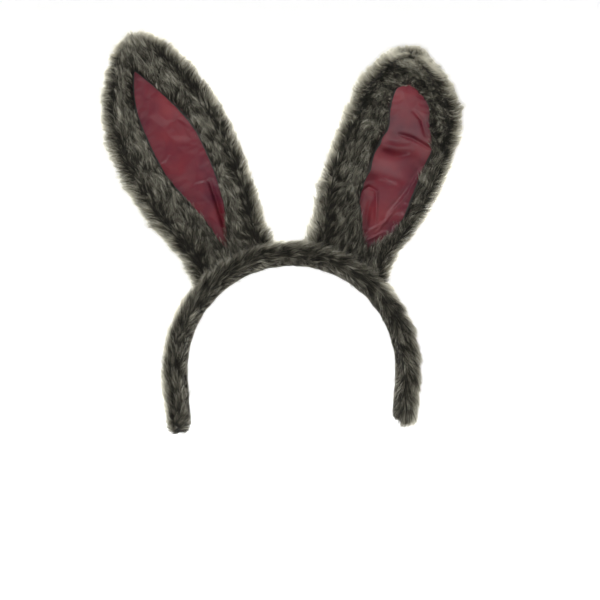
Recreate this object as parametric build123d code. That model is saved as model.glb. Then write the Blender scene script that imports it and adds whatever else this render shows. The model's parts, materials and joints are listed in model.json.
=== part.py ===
from build123d import *
from math import atan2, cos, degrees, pi, radians, sin, sqrt, tan
import os

# Animal ears headband: a springy band in a fur sleeve with two wired, padded rabbit ears.
# Millimetres. The origin is the centre of the band's arch, +Z is up and -Y is the front.

# ---- Driving sizes of the band ----
HEAD_RADIUS = 74.0  # inside face of the sleeve, where the head is
TUCK_ANGLE = 4.0  # how far below the arch's centre the curve goes on, so the arms lean in
ARM_LENGTHS = {"left": 33.0, "right": 25.0}  # straight length below the curve
FLEX_ANGLE = 28.0  # height of the bending place of each arm, above the horizontal
FLEX_OUT = 10.0  # degrees an arm springs outward
FLEX_IN = 8.0  # degrees an arm closes inward

# ---- Section of the band, in layers from the head outward ----
SLEEVE_THICK = 14.0  # fabric, padding and brushed pile together
SLEEVE_WIDTH = 28.0
SLEEVE_ROUND = 5.0
HOLLOW_INSET = 1.4  # sleeve's fabric on the head side
HOLLOW_THICK = 6.6
HOLLOW_WIDTH = 17.0
HOLLOW_ROUND = 1.0
CORE_INSET = 1.8
CORE_THICK = 1.8
CORE_WIDTH = 12.0
CORE_ROUND = 0.6
PADDING_INSET = 4.0
PADDING_THICK = 3.6
PADDING_WIDTH = 15.6
PADDING_ROUND = 1.2
END_CAP = 4.0  # closed fabric below the core's end
END_ROUND = 4.5

# ---- Driving sizes of an ear, with the pile brushed flat ----
EAR_LENGTH = 173.0
EAR_HALF_WIDTH = 45.0
EAR_BASE_HALF_WIDTH = 31.5
WIDEST_AT = 84.0  # height of the widest place
BOW_AT = 0.6  # share of the ear's length where it bows outward most
TIP_RETURN = 0.7  # how far the bow dies out again at the tip
BASE_FOLD = 9.0  # height of the fold just above the band
TIP_BEND = 88.0  # height of the bend half way up
FOLD_FORWARD, FOLD_BACK = 60.0, 50.0
BEND_FORWARD, BEND_BACK = 70.0, 55.0
LEAST_GAP = 0.3  # clear space kept each side of a bending line

# ---- Layers of an ear, measured from the wire's plane, front is plus ----
BACK_FUR = (-9.0, -2.4)
WADDING = (-2.1, 0.6)
LINING = (0.9, 1.5)
FRONT_FUR = (1.8, 8.5)
RIM_THICK = 4.5  # back fur turned forward round the edge
WIRE_RADIUS = 0.8
WIRE_INSET = 9.0
WIRE_KNOTS = (4.5, 24.0, 44.0, 64.0, 84.0, 104.0, 124.0, 141.0, 154.0, 161.0)  # heights it is bent at
WIRE_BEND = 14.0  # radius of each of its bends
WADDING_INSET = 12.0
LINING_ALLOWANCE = 5.0  # lining hidden under the front fur
LINING_BOTTOM = 11.5
BASE_SKIRT = 14.0  # base fur below the ear's zero line, down over the band's shoulders

FOOT_LENGTH = 12.0  # wire laid along the core at the foot of each leg
LEG_CLEARANCE = 0.5  # between a wire leg and the slit it rises through
TAPE_WIDTH = 7.0
TAPE_THICK = 0.25
TAPE_SPARE = 0.2  # room inside a wrap of tape

# ---- Thread ----
THREAD_RADIUS = 0.35
STITCH_LENGTH = 3.2
STITCH_PITCH = 6.0
SEAM_SETBACK = 1.7  # lining's stitches, in from the front fur's edge
SEAM_WIDTH = 2.2
SEAM_DEPTH = 1.0
SEAM_OFFSET = 7.4  # from the band's middle to the seam, towards the back
SEAM_THREAD_LIFT = 0.55  # seam's thread over the sleeve's inside face
END_STITCH_SPOTS = (-6, -2, 2, 6)  # across the band

TOUCH = 0.1  # space left between parts that rest on each other
FAR = 200.0  # longer than anything it cuts
DEEP = 50.0  # deeper than any layer it cuts

AROUND_HEAD = Axis((0, 0, 0), (0, -1, 0))  # turns +X up towards +Z
CORE_MIDDLE = HEAD_RADIUS + CORE_INSET + CORE_THICK / 2
CORE_TOP = HEAD_RADIUS + CORE_INSET + CORE_THICK
SLEEVE_TOP = HEAD_RADIUS + SLEEVE_THICK
WIRE_FOOT_RADIUS = CORE_TOP + WIRE_RADIUS + TOUCH

os.makedirs("parts", exist_ok=True)


def save(name, *solids):
    """Write one node; several solids go in as one group."""
    pieces = [piece for solid in solids for piece in solid.solids()]
    shape = pieces[0] if len(pieces) == 1 else Compound(children=pieces)
    export_step(shape, f"parts/{name}.step")


def joint_gap(place, side_angle, other_angle):
    """Bow-tie prism round a hinge line, to be cut from both sides of the joint.

    The plane's x runs from one side of the joint to the other, its y through the thickness
    and its z along the hinge line. Each angle is the travel towards that side.
    """
    side = LEAST_GAP + DEEP * tan(radians(side_angle / 2 + 1))
    other = LEAST_GAP + DEEP * tan(radians(other_angle / 2 + 1))
    outline = Polyline(
        (-side, DEEP),
        (side, DEEP),
        (LEAST_GAP, 0),
        (other, -DEEP),
        (-other, -DEEP),
        (-LEAST_GAP, 0),
        close=True,
    )
    return place * extrude(make_face(outline), amount=FAR, both=True)


def stitch(start, end):
    """One straight run of thread between two points."""
    along = Vector(end) - Vector(start)
    place = Plane(origin=start, z_dir=along.normalized())
    bottom = (Align.CENTER, Align.CENTER, Align.MIN)
    return place * Cylinder(THREAD_RADIUS, along.length, align=bottom)


# ---------------------------------------------------------------- the band
def band_section(inset, thick, width, rounding):
    """Rounded section of one layer, drawn in X (outward) and Y (across the band)."""
    middle = HEAD_RADIUS + inset + thick / 2
    return Pos(middle, 0) * RectangleRounded(thick, width, rounding)


def arch(section, start, end):
    """Section turned round the head from one angle to another."""
    return revolve(section, AROUND_HEAD, end - start).rotate(AROUND_HEAD, start)


def arm(section, length):
    """Right arm of one layer: the arch's lower end and the straight run below it."""
    bend = arch(section, -TUCK_ANGLE, FLEX_ANGLE)
    lean = radians(TUCK_ANGLE)
    down = Vector(-sin(lean), 0, -cos(lean))
    run = extrude(section.rotate(AROUND_HEAD, -TUCK_ANGLE), amount=length, dir=down)
    return bend + run


def flex_place():
    """Plane of the right arm's bending line: x down the arm, y outward."""
    angle = radians(FLEX_ANGLE)
    line = (CORE_MIDDLE * cos(angle), 0, CORE_MIDDLE * sin(angle))
    return Plane(origin=line, x_dir=(sin(angle), 0, -cos(angle)), z_dir=(0, -1, 0))


FLEX_GAP = joint_gap(flex_place(), FLEX_OUT, FLEX_IN)


def for_side(solid, side):
    """Right-hand solid as drawn, or its mirror image for the left."""
    return solid if side == "right" else mirror(solid, about=Plane.YZ)


def end_place(length):
    """Plane at the lower end of an arm's straight run, x outward and z down the arm."""
    lean = radians(TUCK_ANGLE)
    outward = Vector(cos(lean), 0, -sin(lean))
    down = Vector(-sin(lean), 0, -cos(lean))
    return Plane(origin=down * length, x_dir=outward, z_dir=down)


def core_arm(length):
    """Springy strip of one arm, with a round end."""
    section = core_section()
    straight = length - CORE_WIDTH / 2
    place = end_place(straight)
    tip = place * Pos(CORE_MIDDLE, 0, 0) * Rot(0, 90, 0) * Cylinder(CORE_WIDTH / 2, CORE_THICK)
    return arm(section, straight) + tip - FLEX_GAP


def sleeve_section():
    return band_section(0, SLEEVE_THICK, SLEEVE_WIDTH, SLEEVE_ROUND)


def hollow_section():
    return band_section(HOLLOW_INSET, HOLLOW_THICK, HOLLOW_WIDTH, HOLLOW_ROUND)


def core_section():
    return band_section(CORE_INSET, CORE_THICK, CORE_WIDTH, CORE_ROUND)


def padding_section():
    return band_section(PADDING_INSET, PADDING_THICK, PADDING_WIDTH, PADDING_ROUND)


def seam_section():
    """Small valley of the seam on the head side."""
    return Pos(HEAD_RADIUS, SEAM_OFFSET) * Rectangle(2 * SEAM_DEPTH, SEAM_WIDTH)


def sleeve_arm(length):
    """Fur sleeve of one arm, closed and rounded at its lower end."""
    outside = arm(sleeve_section(), length + END_CAP)
    place = end_place(length + END_CAP)
    end_edges = outside.edges().group_by(Axis(place.origin, place.z_dir))[-1]
    outside = fillet(end_edges, END_ROUND)
    inside = arm(hollow_section(), length + LEAST_GAP)
    return outside - inside - arm(seam_section(), length - SLEEVE_ROUND) - FLEX_GAP


def seam_stitches(start, end, length=0.0):
    """Slanted stitches in the seam's valley, round the arch and down the straight run."""
    radius = HEAD_RADIUS + SEAM_THREAD_LIFT
    lean = STITCH_LENGTH / 2
    half = SEAM_WIDTH / 2 - THREAD_RADIUS - TOUCH
    one = stitch(
        (radius, SEAM_OFFSET - half, -lean),
        (radius, SEAM_OFFSET + half, lean),
    )
    step = degrees(STITCH_PITCH / radius)
    count = int((end - start) / step)
    first = (start + end - (count - 1) * step) / 2
    made = [one.rotate(AROUND_HEAD, first + i * step) for i in range(count)]
    place = end_place(0)
    for i in range(int(length / STITCH_PITCH)):
        lowered = Pos(*(place.z_dir * ((i + 0.5) * STITCH_PITCH)))
        made.append(lowered * one.rotate(AROUND_HEAD, -TUCK_ANGLE))
    return made


def end_stitches(length):
    """Row of stitches that closes the sleeve across its lower end."""
    place = end_place(length + END_CAP + THREAD_RADIUS + TOUCH)
    middle = HEAD_RADIUS + SLEEVE_THICK / 2
    half = STITCH_LENGTH / 2
    return [
        place * stitch((middle - half, across - 1, 0), (middle + half, across + 1, 0))
        for across in END_STITCH_SPOTS
    ]


# ---------------------------------------------------------------- the ears
class Ear:
    """One ear. Its own frame has x across to the right, y up the ear and z to the front."""

    def __init__(self, name, side, base, lean, bow, bend, lining_half, lining_middles, lining_top):
        self.name = name
        self.side = side  # -1 when the outer edge is on the left, +1 on the right
        self.bow = bow  # outward curve of the whole ear
        self.bend = bend  # forward bend at rest, degrees
        self.lining_half = lining_half
        self.lining_middles = lining_middles  # outward shift at its bottom, middle and top
        self.lining_top = lining_top
        across = (cos(radians(lean)), 0, sin(radians(lean)))
        self.place = Plane(origin=base, x_dir=across, z_dir=(0, -1, 0))
        self.fold_gap = self.gap_at(BASE_FOLD, FOLD_FORWARD, FOLD_BACK)
        self.bend_gap = self.gap_at(TIP_BEND, BEND_FORWARD, BEND_BACK)

    def gap_at(self, height, forward, back):
        line = Plane(origin=(0, height, 0), x_dir=(0, 1, 0), z_dir=(1, 0, 0))
        return joint_gap(line, forward, back)

    def half_width(self, height, inset):
        """Half the ear's width: it swells from the base and closes in a round point."""
        length = EAR_LENGTH - inset
        widest = EAR_HALF_WIDTH - inset
        if height <= WIDEST_AT:
            swell = sin(pi / 2 * max(height, 0) / WIDEST_AT) ** 1.1
            narrow = EAR_BASE_HALF_WIDTH / EAR_HALF_WIDTH
            return widest * (narrow + (1 - narrow) * swell)
        past = min((height - WIDEST_AT) / (length - WIDEST_AT), 1)
        return widest * (1 - past**1.9) ** 0.62

    def middle(self, height):
        """Outward shift of the ear's middle line: it rises to the bow, then eases back."""
        share = min(max(height / EAR_LENGTH, 0), 1)
        if share < BOW_AT:
            return self.bow * sin(pi / 2 * share / BOW_AT)
        past = (share - BOW_AT) / (1 - BOW_AT)
        return self.bow * cos(pi / 2 * TIP_RETURN * past)

    def edge(self, height, inset, outer):
        """Point on the outer (+1) or inner (-1) edge, drawn in by an inset."""
        across = self.middle(height) + outer * self.half_width(height, inset)
        return (self.side * across, height)

    def outline(self, inset, bottom):
        """Closed face of the ear's shape, drawn in by an inset."""
        top = EAR_LENGTH - inset
        steps = 8
        heights = [bottom + (top - bottom) * (1 - (1 - i / steps) ** 2) for i in range(steps)]
        points = [self.edge(height, inset, -1) for height in heights]
        points.append((self.side * self.middle(top), top))
        points += [self.edge(height, inset, 1) for height in reversed(heights)]
        return make_face(Spline(*points) + Line(points[-1], points[0]))

    def lining_edge(self, share, grown, outer):
        """Point on the lining's edge at a share of its height."""
        low, half_way, high = self.lining_middles
        turn = 2 * share - 1
        shift = half_way + (high - low) / 2 * turn + ((high + low) / 2 - half_way) * turn**2
        half = self.lining_half * sin(pi * share**1.1) + grown
        height = LINING_BOTTOM + (self.lining_top - LINING_BOTTOM) * share
        return (self.side * (shift + outer * half), height)

    def lining_outline(self, grown):
        """Almond of the lining; grown widens it all round."""
        steps = 7
        shares = [(i + 0.5) / steps for i in range(steps)]
        bottom = self.lining_edge(0, 0, 1)
        top = self.lining_edge(1, 0, 1)
        points = [(bottom[0], bottom[1] - min(grown, LINING[1]))]
        points += [self.lining_edge(share, grown, 1) for share in shares]
        points.append((top[0], top[1] + grown))
        points += [self.lining_edge(share, grown, -1) for share in reversed(shares)]
        return make_face(Spline(*points, periodic=True))

    def layer(self, face, span):
        """A face given its thickness between two heights over the wire's plane."""
        return Pos(0, 0, span[0]) * extrude(face, amount=span[1] - span[0])

    def between(self, solid, low, high):
        """The stretch of a solid between two heights, clear of both bending lines."""
        bottom = (Align.CENTER, Align.MIN, Align.CENTER)
        stretch = Pos(0, low, 0) * Box(FAR, high - low, DEEP, align=bottom)
        return (solid & stretch) - self.fold_gap - self.bend_gap

    def save_lower(self, part, *solids):
        """Save what lies between the base fold and the tip bend."""
        cut = [self.between(solid, BASE_FOLD, TIP_BEND) for solid in solids]
        save(f"{self.name}_ear_{part}_lower", *[self.place * piece for piece in cut])

    def save_tip(self, part, *solids):
        """Save what lies above the tip bend, bent forward as it rests."""
        bent = Pos(0, TIP_BEND, 0) * Rot(self.bend, 0, 0) * Pos(0, -TIP_BEND, 0)
        cut = [self.between(solid, TIP_BEND, FAR) for solid in solids]
        save(f"{self.name}_ear_{part}_tip", *[self.place * bent * piece for piece in cut])

    def save_both(self, part, solid):
        self.save_lower(part, solid)
        self.save_tip(part, solid)

    def back_fur(self):
        """Back panel with its edge turned forward round the wire."""
        panel = self.layer(self.outline(0, 0), BACK_FUR)
        ring = self.outline(0, 0) - self.outline(RIM_THICK, -DEEP / 2)
        rim = self.layer(ring, (BACK_FUR[1] - 0.5, FRONT_FUR[0] - LEAST_GAP))
        return panel + rim

    def front_fur(self):
        """Front border with an almond opening for the lining."""
        return self.layer(self.outline(0, 0) - self.lining_outline(0), FRONT_FUR)

    def leg_across(self, outer):
        """Place across the ear of the inner (-1) or outer (+1) wire leg."""
        return self.edge(BASE_FOLD, WIRE_INSET, outer)[0]

    def leg_foot(self, outer):
        """Point where a wire leg, run straight down, meets the core."""
        foot = self.place.from_local_coords(Vector(self.leg_across(outer), 0, 0))
        down = -self.place.y_dir
        toward = foot.X * down.X + foot.Z * down.Z
        outside = foot.X**2 + foot.Z**2 - WIRE_FOOT_RADIUS**2
        return foot + down * (-toward - sqrt(toward**2 - outside))

    def wire_loop(self):
        """Wire round the ear's edge, bent from point to point over the tip."""
        top = EAR_LENGTH - WIRE_INSET
        points = [self.edge(height, WIRE_INSET, -self.side) for height in WIRE_KNOTS]
        points.append((self.side * self.middle(top), top))
        points += [self.edge(height, WIRE_INSET, self.side) for height in reversed(WIRE_KNOTS)]
        path = FilletPolyline(*points, radius=WIRE_BEND)
        start = Plane(origin=path @ 0, z_dir=path % 0)
        return sweep(start * Circle(WIRE_RADIUS), path=path)

    def wire_feet(self):
        """Both legs below the base fold, each turned along the core for a short way."""
        feet = []
        for outer in (-1, 1):
            top = Vector(self.leg_across(outer), BASE_FOLD - WIRE_RADIUS - 2 * LEAST_GAP, 0)
            start = self.place.from_local_coords(top)
            knee = self.leg_foot(outer)
            leg_place = Plane(origin=knee, z_dir=start - knee)
            upright = (Align.CENTER, Align.CENTER, Align.MIN)
            leg = leg_place * Cylinder(WIRE_RADIUS, (start - knee).length, align=upright)
            section = Pos(WIRE_FOOT_RADIUS, 0) * Circle(WIRE_RADIUS)
            run = arch(section, *sorted((self.foot_angle(outer, 0), self.foot_angle(outer, 1))))
            feet.append(leg + Pos(*knee) * Sphere(WIRE_RADIUS) + run)
        return feet

    def foot_angle(self, outer, share):
        """Angle round the head at a share of a wire foot's length, towards the other foot."""
        knee = self.leg_foot(outer)
        inward = outer * self.side
        turn = degrees(FOOT_LENGTH * share / WIRE_FOOT_RADIUS)
        return degrees(atan2(knee.Z, knee.X)) + inward * turn

    def tape_angles(self):
        return sorted(self.foot_angle(outer, 0.6) for outer in (-1, 1))

    def tapes(self):
        """A wrap of tape round core and wire at each foot."""
        inset = CORE_INSET - TOUCH
        thick = CORE_THICK + 2 * WIRE_RADIUS + 2 * TAPE_SPARE
        width = CORE_WIDTH + TAPE_SPARE
        wall = 2 * TAPE_THICK
        inner_ring = band_section(inset, thick, width, CORE_ROUND)
        outer_ring = band_section(inset - TAPE_THICK, thick + wall, width + wall, CORE_ROUND + TAPE_THICK)
        half = degrees(TAPE_WIDTH / 2 / CORE_TOP)
        return [
            arch(outer_ring - inner_ring, angle - half, angle + half)
            for angle in self.tape_angles()
        ]

    def padding_notch(self):
        """Room for the wire feet and their tapes in the band's padding."""
        low, high = self.tape_angles()
        spare = degrees(FOOT_LENGTH / CORE_TOP)
        thick = 2 * (WIRE_RADIUS + TAPE_SPARE + TAPE_THICK + TOUCH) + LEAST_GAP
        section = band_section(CORE_INSET + CORE_THICK, thick, SLEEVE_WIDTH, TOUCH)
        return arch(section, low - spare, high + spare)

    def leg_holes(self):
        """Slits in the sleeve through which the wire legs rise into the ear."""
        holes = []
        for outer in (-1, 1):
            hole = Rot(90, 0, 0) * Cylinder(WIRE_RADIUS + LEG_CLEARANCE, 4 * SLEEVE_THICK)
            holes.append(self.place * Pos(self.leg_across(outer), 0, 0) * hole)
        return holes

    def base_fur(self):
        """Gathered lower end of the ear's fur, sewn on the band."""
        block = self.layer(self.base_outline(), (BACK_FUR[0], FRONT_FUR[1]))
        block -= self.fold_gap
        return self.place * block - SLEEVE_CLEARANCE - self.leg_holes()

    def base_outline(self):
        """Fur below the fold, between the ear's two edges and down past the band's top."""
        corners = Polyline(
            self.edge(BASE_FOLD, 0, -1),
            self.edge(BASE_FOLD, 0, 1),
            (self.side * EAR_BASE_HALF_WIDTH, -BASE_SKIRT),
            (-self.side * EAR_BASE_HALF_WIDTH, -BASE_SKIRT),
            close=True,
        )
        return make_face(corners)

    def base_stitches(self):
        """Stitches in the corner between the base and the sleeve, front and back."""
        made = []
        clear = THREAD_RADIUS + TOUCH
        low = SLEEVE_TOP + clear
        high = low + STITCH_LENGTH
        for depth in (BACK_FUR[0] - clear, FRONT_FUR[1] + clear):
            for i in range(-3, 4):
                point = self.place.from_local_coords(Vector(i * STITCH_PITCH, 0, depth))
                angle = atan2(point.Z, point.X)
                start = (low * cos(angle), point.Y, low * sin(angle))
                end = (high * cos(angle), point.Y, high * sin(angle))
                made.append(stitch(start, end))
        return made

    def lining_stitches(self):
        """Short stitches along both edges of the lining, split at the tip bend."""
        lower, tip = [], []
        depth = LINING[1] + THREAD_RADIUS + 0.02
        share_step = STITCH_PITCH / (self.lining_top - LINING_BOTTOM)
        for i in range(2, int(1 / share_step) - 1):
            for outer in (-1, 1):
                low = self.lining_edge(i * share_step, -SEAM_SETBACK, outer)
                high = self.lining_edge((i + 0.5) * share_step, -SEAM_SETBACK, outer)
                thread = stitch((*low, depth), (*high, depth))
                if high[1] < TIP_BEND - 2:
                    lower.append(thread)
                elif low[1] > TIP_BEND + 2:
                    tip.append(thread)
        return lower, tip

    def save_all(self):
        save(f"{self.name}_ear_base_fur", self.base_fur())
        save(f"{self.name}_ear_base_stitches", *self.base_stitches())
        save(f"{self.name}_ear_wire_feet", *self.wire_feet())
        save(f"{self.name}_ear_wire_tapes", *self.tapes())
        self.save_both("back_fur", self.back_fur())
        self.save_both("front_fur", self.front_fur())
        self.save_both("lining", self.layer(self.lining_outline(LINING_ALLOWANCE), LINING))
        self.save_both("wadding", self.layer(self.outline(WADDING_INSET, 0), WADDING))
        self.save_both("wire", self.wire_loop())
        lower, tip = self.lining_stitches()
        self.save_lower("lining_stitches", *lower)
        self.save_tip("lining_stitches", *tip)


SLEEVE_CLEARANCE = Rot(90, 0, 0) * Cylinder(SLEEVE_TOP + LEAST_GAP, FAR)

EARS = [
    Ear(
        name="left",
        side=-1,
        base=(-42, 0, 80),
        lean=23.2,
        bow=7.5,
        bend=0.0,
        lining_half=21.5,
        lining_middles=(-1.0, 4.0, 11.0),
        lining_top=149.0,
    ),
    Ear(
        name="right",
        side=1,
        base=(38.5, 0, 81.5),
        lean=-17.4,
        bow=10.0,
        bend=45.0,
        lining_half=23.5,
        lining_middles=(12.0, 14.5, 5.0),
        lining_top=139.0,
    ),
]


def save_band_crown():
    """Everything of the band between the two bending places, under both ears."""
    start, end = FLEX_ANGLE, 180 - FLEX_ANGLE
    gaps = FLEX_GAP + mirror(FLEX_GAP, about=Plane.YZ)
    core = arch(core_section(), start, end)
    padding = arch(padding_section(), start, end)
    sleeve = arch(sleeve_section(), start, end) - arch(hollow_section(), start, end)
    sleeve -= arch(seam_section(), start, end)
    for ear in EARS:
        padding -= ear.padding_notch()
        sleeve -= ear.leg_holes()
        padding -= ear.leg_holes()
    save("band_core_crown", core - gaps)
    save("band_padding_crown", padding - gaps)
    save("band_fur_crown", sleeve - gaps)
    save("band_seam_crown", *seam_stitches(start + 2, end - 2))


def save_band_arm(side):
    """Everything of one arm below its bending place."""
    length = ARM_LENGTHS[side]
    padding = arm(padding_section(), length)
    save(f"band_core_{side}", for_side(core_arm(length), side))
    save(f"band_padding_{side}", for_side(padding - FLEX_GAP, side))
    save(f"band_fur_{side}", for_side(sleeve_arm(length), side))
    stitches = seam_stitches(-TUCK_ANGLE, FLEX_ANGLE - 2, length - SLEEVE_ROUND - STITCH_PITCH / 2)
    save(f"band_seam_{side}", *[for_side(one, side) for one in stitches])
    save(f"band_end_stitches_{side}", *[for_side(one, side) for one in end_stitches(length)])


save_band_crown()
save_band_arm("left")
save_band_arm("right")
for ear in EARS:
    ear.save_all()
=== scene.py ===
import json
import logging
import math
from dataclasses import dataclass, field
from enum import Enum

import bmesh
import bpy
import numpy as np
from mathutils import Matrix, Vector
from mathutils.kdtree import KDTree


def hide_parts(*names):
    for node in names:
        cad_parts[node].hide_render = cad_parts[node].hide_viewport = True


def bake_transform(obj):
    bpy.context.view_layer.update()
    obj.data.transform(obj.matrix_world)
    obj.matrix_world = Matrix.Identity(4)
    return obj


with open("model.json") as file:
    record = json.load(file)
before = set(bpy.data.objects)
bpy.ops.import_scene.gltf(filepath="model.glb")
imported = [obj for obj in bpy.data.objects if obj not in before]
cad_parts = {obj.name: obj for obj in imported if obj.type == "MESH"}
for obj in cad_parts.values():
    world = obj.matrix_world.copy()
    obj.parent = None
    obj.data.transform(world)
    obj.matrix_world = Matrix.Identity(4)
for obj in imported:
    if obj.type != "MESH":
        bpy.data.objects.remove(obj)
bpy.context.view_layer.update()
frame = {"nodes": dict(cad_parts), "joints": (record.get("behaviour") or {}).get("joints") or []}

MM = 0.001
SQUARE_MM_PER_METRE = 1e6  # square millimetres in a square metre
STRAND_MAP = "OFBake"  # the mesh map that carries each strand's tone and height

log = logging.getLogger("rabbit_ears")


class Side(Enum):
    """Which side of the headband a piece is on, as seen from the front."""

    LEFT = "left"
    RIGHT = "right"

    @property
    def sign(self) -> int:
        """-1 on the left and 1 on the right."""
        return -1 if self is Side.LEFT else 1


# ------------------------------------------------------------------ small helpers
def unit(vectors: np.ndarray) -> np.ndarray:
    """Vectors scaled to length one.

    Args:
        vectors: an array whose last axis is x, y, z.

    Returns:
        An array of the same shape.
    """
    length = np.linalg.norm(vectors, axis=-1, keepdims=True)
    return vectors / np.maximum(length, 1e-12)


def ease(low: float, high: float, value: np.ndarray) -> np.ndarray:
    """Smooth step from 0 at low to 1 at high.

    Args:
        low: where the step begins.
        high: where it ends.
        value: the values to place on it.

    Returns:
        The step's height at each value.
    """
    share = np.clip((value - low) / (high - low), 0.0, 1.0)
    return share * share * (3.0 - 2.0 * share)


def smooth_rows(rows: tuple, at: np.ndarray) -> list:
    """Smooth curves through rows of values.

    Args:
        rows: rows of a height and the values there, from the bottom up.
        at: the heights wanted.

    Returns:
        One array per value of a row.
    """
    table = np.array(rows, float)
    x, width = table[:, 0], np.diff(table[:, 0])
    at = np.clip(at, x[0], x[-1])
    cell = np.clip(np.searchsorted(x, at, side="right") - 1, 0, len(x) - 2)
    share = (at - x[cell]) / width[cell]
    curves = []
    for y in table[:, 1:].T:
        slope = np.gradient(y, x)
        start, end = slope[cell] * width[cell], slope[cell + 1] * width[cell]
        rise = y[cell + 1] - y[cell]
        bend = (start + end - 2 * rise) * share + (3 * rise - 2 * start - end)
        curves.append(y[cell] + share * (start + share * bend))
    return curves


def joint_named(name: str) -> dict:
    """The frame's joint of that name.

    Args:
        name: a joint of the record.

    Returns:
        Its entry, with pos_m, axis and range_deg.
    """
    return next(joint for joint in frame["joints"] if joint["name"] == name)


@dataclass
class Ripple:
    """A smooth, seeded field of waves, for drift in lay, length and tone."""

    seed: int
    wavelength: float
    waves: int = 9

    def __call__(self, points: np.ndarray) -> np.ndarray:
        """Height of the field.

        Args:
            points: N positions in metres.

        Returns:
            N values, mostly between -1 and 1.
        """
        rng = np.random.default_rng(self.seed)
        total = np.zeros(len(points))
        for _ in range(self.waves):
            heading = unit(rng.normal(size=3))
            pitch = 2 * math.pi / (self.wavelength * rng.uniform(0.7, 1.6))
            total += np.sin(points @ heading * pitch + rng.uniform(0, 2 * math.pi))
        return total / math.sqrt(self.waves)


def mesh_from(name: str, points: np.ndarray, faces: np.ndarray) -> bpy.types.Mesh:
    """Mesh of faces that all have the same number of corners.

    Args:
        name: the mesh's name.
        points: N positions in metres.
        faces: M rows of point numbers.

    Returns:
        The smooth-shaded mesh.
    """
    mesh = bpy.data.meshes.new(name)
    mesh.vertices.add(len(points))
    mesh.vertices.foreach_set("co", points.astype(np.float32).ravel())
    mesh.loops.add(faces.size)
    mesh.loops.foreach_set("vertex_index", faces.astype(np.int32).ravel())
    mesh.polygons.add(len(faces))
    starts = np.arange(len(faces), dtype=np.int32) * faces.shape[1]
    mesh.polygons.foreach_set("loop_start", starts)
    mesh.update(calc_edges=True)
    mesh.polygons.foreach_set("use_smooth", np.ones(len(faces), bool))
    mesh.validate()
    return mesh


def show(name: str, mesh: bpy.types.Mesh, material: bpy.types.Material) -> bpy.types.Object:
    """Object of a mesh, linked into the scene with its material.

    Args:
        name: the piece's name.
        mesh: its mesh.
        material: its finish.

    Returns:
        The new object.
    """
    mesh.materials.append(material)
    piece = bpy.data.objects.new(name, mesh)
    bpy.context.scene.collection.objects.link(piece)
    return piece


# ------------------------------------------------------------------ shader desk and groups
class Desk:
    """A node tree with short ways to add and join nodes."""

    def __init__(self, tree: bpy.types.NodeTree) -> None:
        """Keep the tree to work on.

        Args:
            tree: a material's or a group's tree.
        """
        self.tree = tree

    def add(self, kind: str, **values: object) -> bpy.types.Node:
        """New node with some of its properties set.

        Args:
            kind: the node's type, such as ShaderNodeMath.
            values: properties of the node by name.

        Returns:
            The node.
        """
        node = self.tree.nodes.new(kind)
        for name, value in values.items():
            setattr(node, name, value)
        return node

    def join(self, source: bpy.types.NodeSocket, target: bpy.types.NodeSocket) -> None:
        """Link an output to an input."""
        self.tree.links.new(source, target)

    def give(self, target: bpy.types.NodeSocket, value: object) -> None:
        """Link an output to an input, or set the input.

        Args:
            target: the input.
            value: an output, a number or a colour of three parts.
        """
        if isinstance(value, bpy.types.NodeSocket):
            self.join(value, target)
        else:
            target.default_value = (*value, 1.0) if isinstance(value, tuple) else value

    def maths(self, operation: str, first: object, second: object) -> bpy.types.NodeSocket:
        """Result of a Math node.

        Args:
            operation: such as MULTIPLY.
            first: a socket or a number.
            second: a socket or a number.

        Returns:
            The node's output.
        """
        node = self.add("ShaderNodeMath", operation=operation)
        self.give(node.inputs[0], first)
        self.give(node.inputs[1], second)
        return node.outputs[0]

    def mixed(self, share: object, first: object, second: object) -> bpy.types.NodeSocket:
        """Colour between two colours.

        Args:
            share: a socket or a number from 0 to 1.
            first: a colour or a socket, shown at 0.
            second: a colour or a socket, shown at 1.

        Returns:
            The mixed colour.
        """
        node = self.add("ShaderNodeMix", data_type="RGBA")
        for number, value in zip((0, 6, 7), (share, first, second)):  # factor, A and B for colours
            self.give(node.inputs[number], value)
        return node.outputs[2]

    def spread(self, value: bpy.types.NodeSocket, low: float, high: float) -> bpy.types.NodeSocket:
        """Value stretched so that low becomes 0 and high becomes 1.

        Args:
            value: what to stretch.
            low: its value at 0.
            high: its value at 1.

        Returns:
            The stretched value, held between 0 and 1.
        """
        node = self.add("ShaderNodeMapRange")
        node.inputs["From Min"].default_value = low
        node.inputs["From Max"].default_value = high
        self.join(value, node.inputs["Value"])
        return node.outputs[0]

    def ramp(self, share: bpy.types.NodeSocket, stops: list) -> bpy.types.NodeSocket:
        """Colour ramp.

        Args:
            share: where on the ramp to read.
            stops: pairs of place and colour.

        Returns:
            The ramp's colour.
        """
        node = self.add("ShaderNodeValToRGB")
        elements = node.color_ramp.elements
        while len(elements) < len(stops):
            elements.new(0.5)
        for element, (place, colour) in zip(elements, stops):
            element.position = place
            element.color = (*colour, 1.0)
        self.join(share, node.inputs[0])
        return node.outputs[0]

    def noise(self, scale: float, detail: float = 3.0) -> bpy.types.NodeSocket:
        """Noise over the object's own coordinates.

        Args:
            scale: bumps per metre.
            detail: how many finer layers it has.

        Returns:
            Its value, from 0 to 1.
        """
        place = self.add("ShaderNodeTexCoord")
        node = self.add("ShaderNodeTexNoise")
        node.inputs["Scale"].default_value = scale
        node.inputs["Detail"].default_value = detail
        self.join(place.outputs["Object"], node.inputs["Vector"])
        return node.outputs[0]


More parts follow.
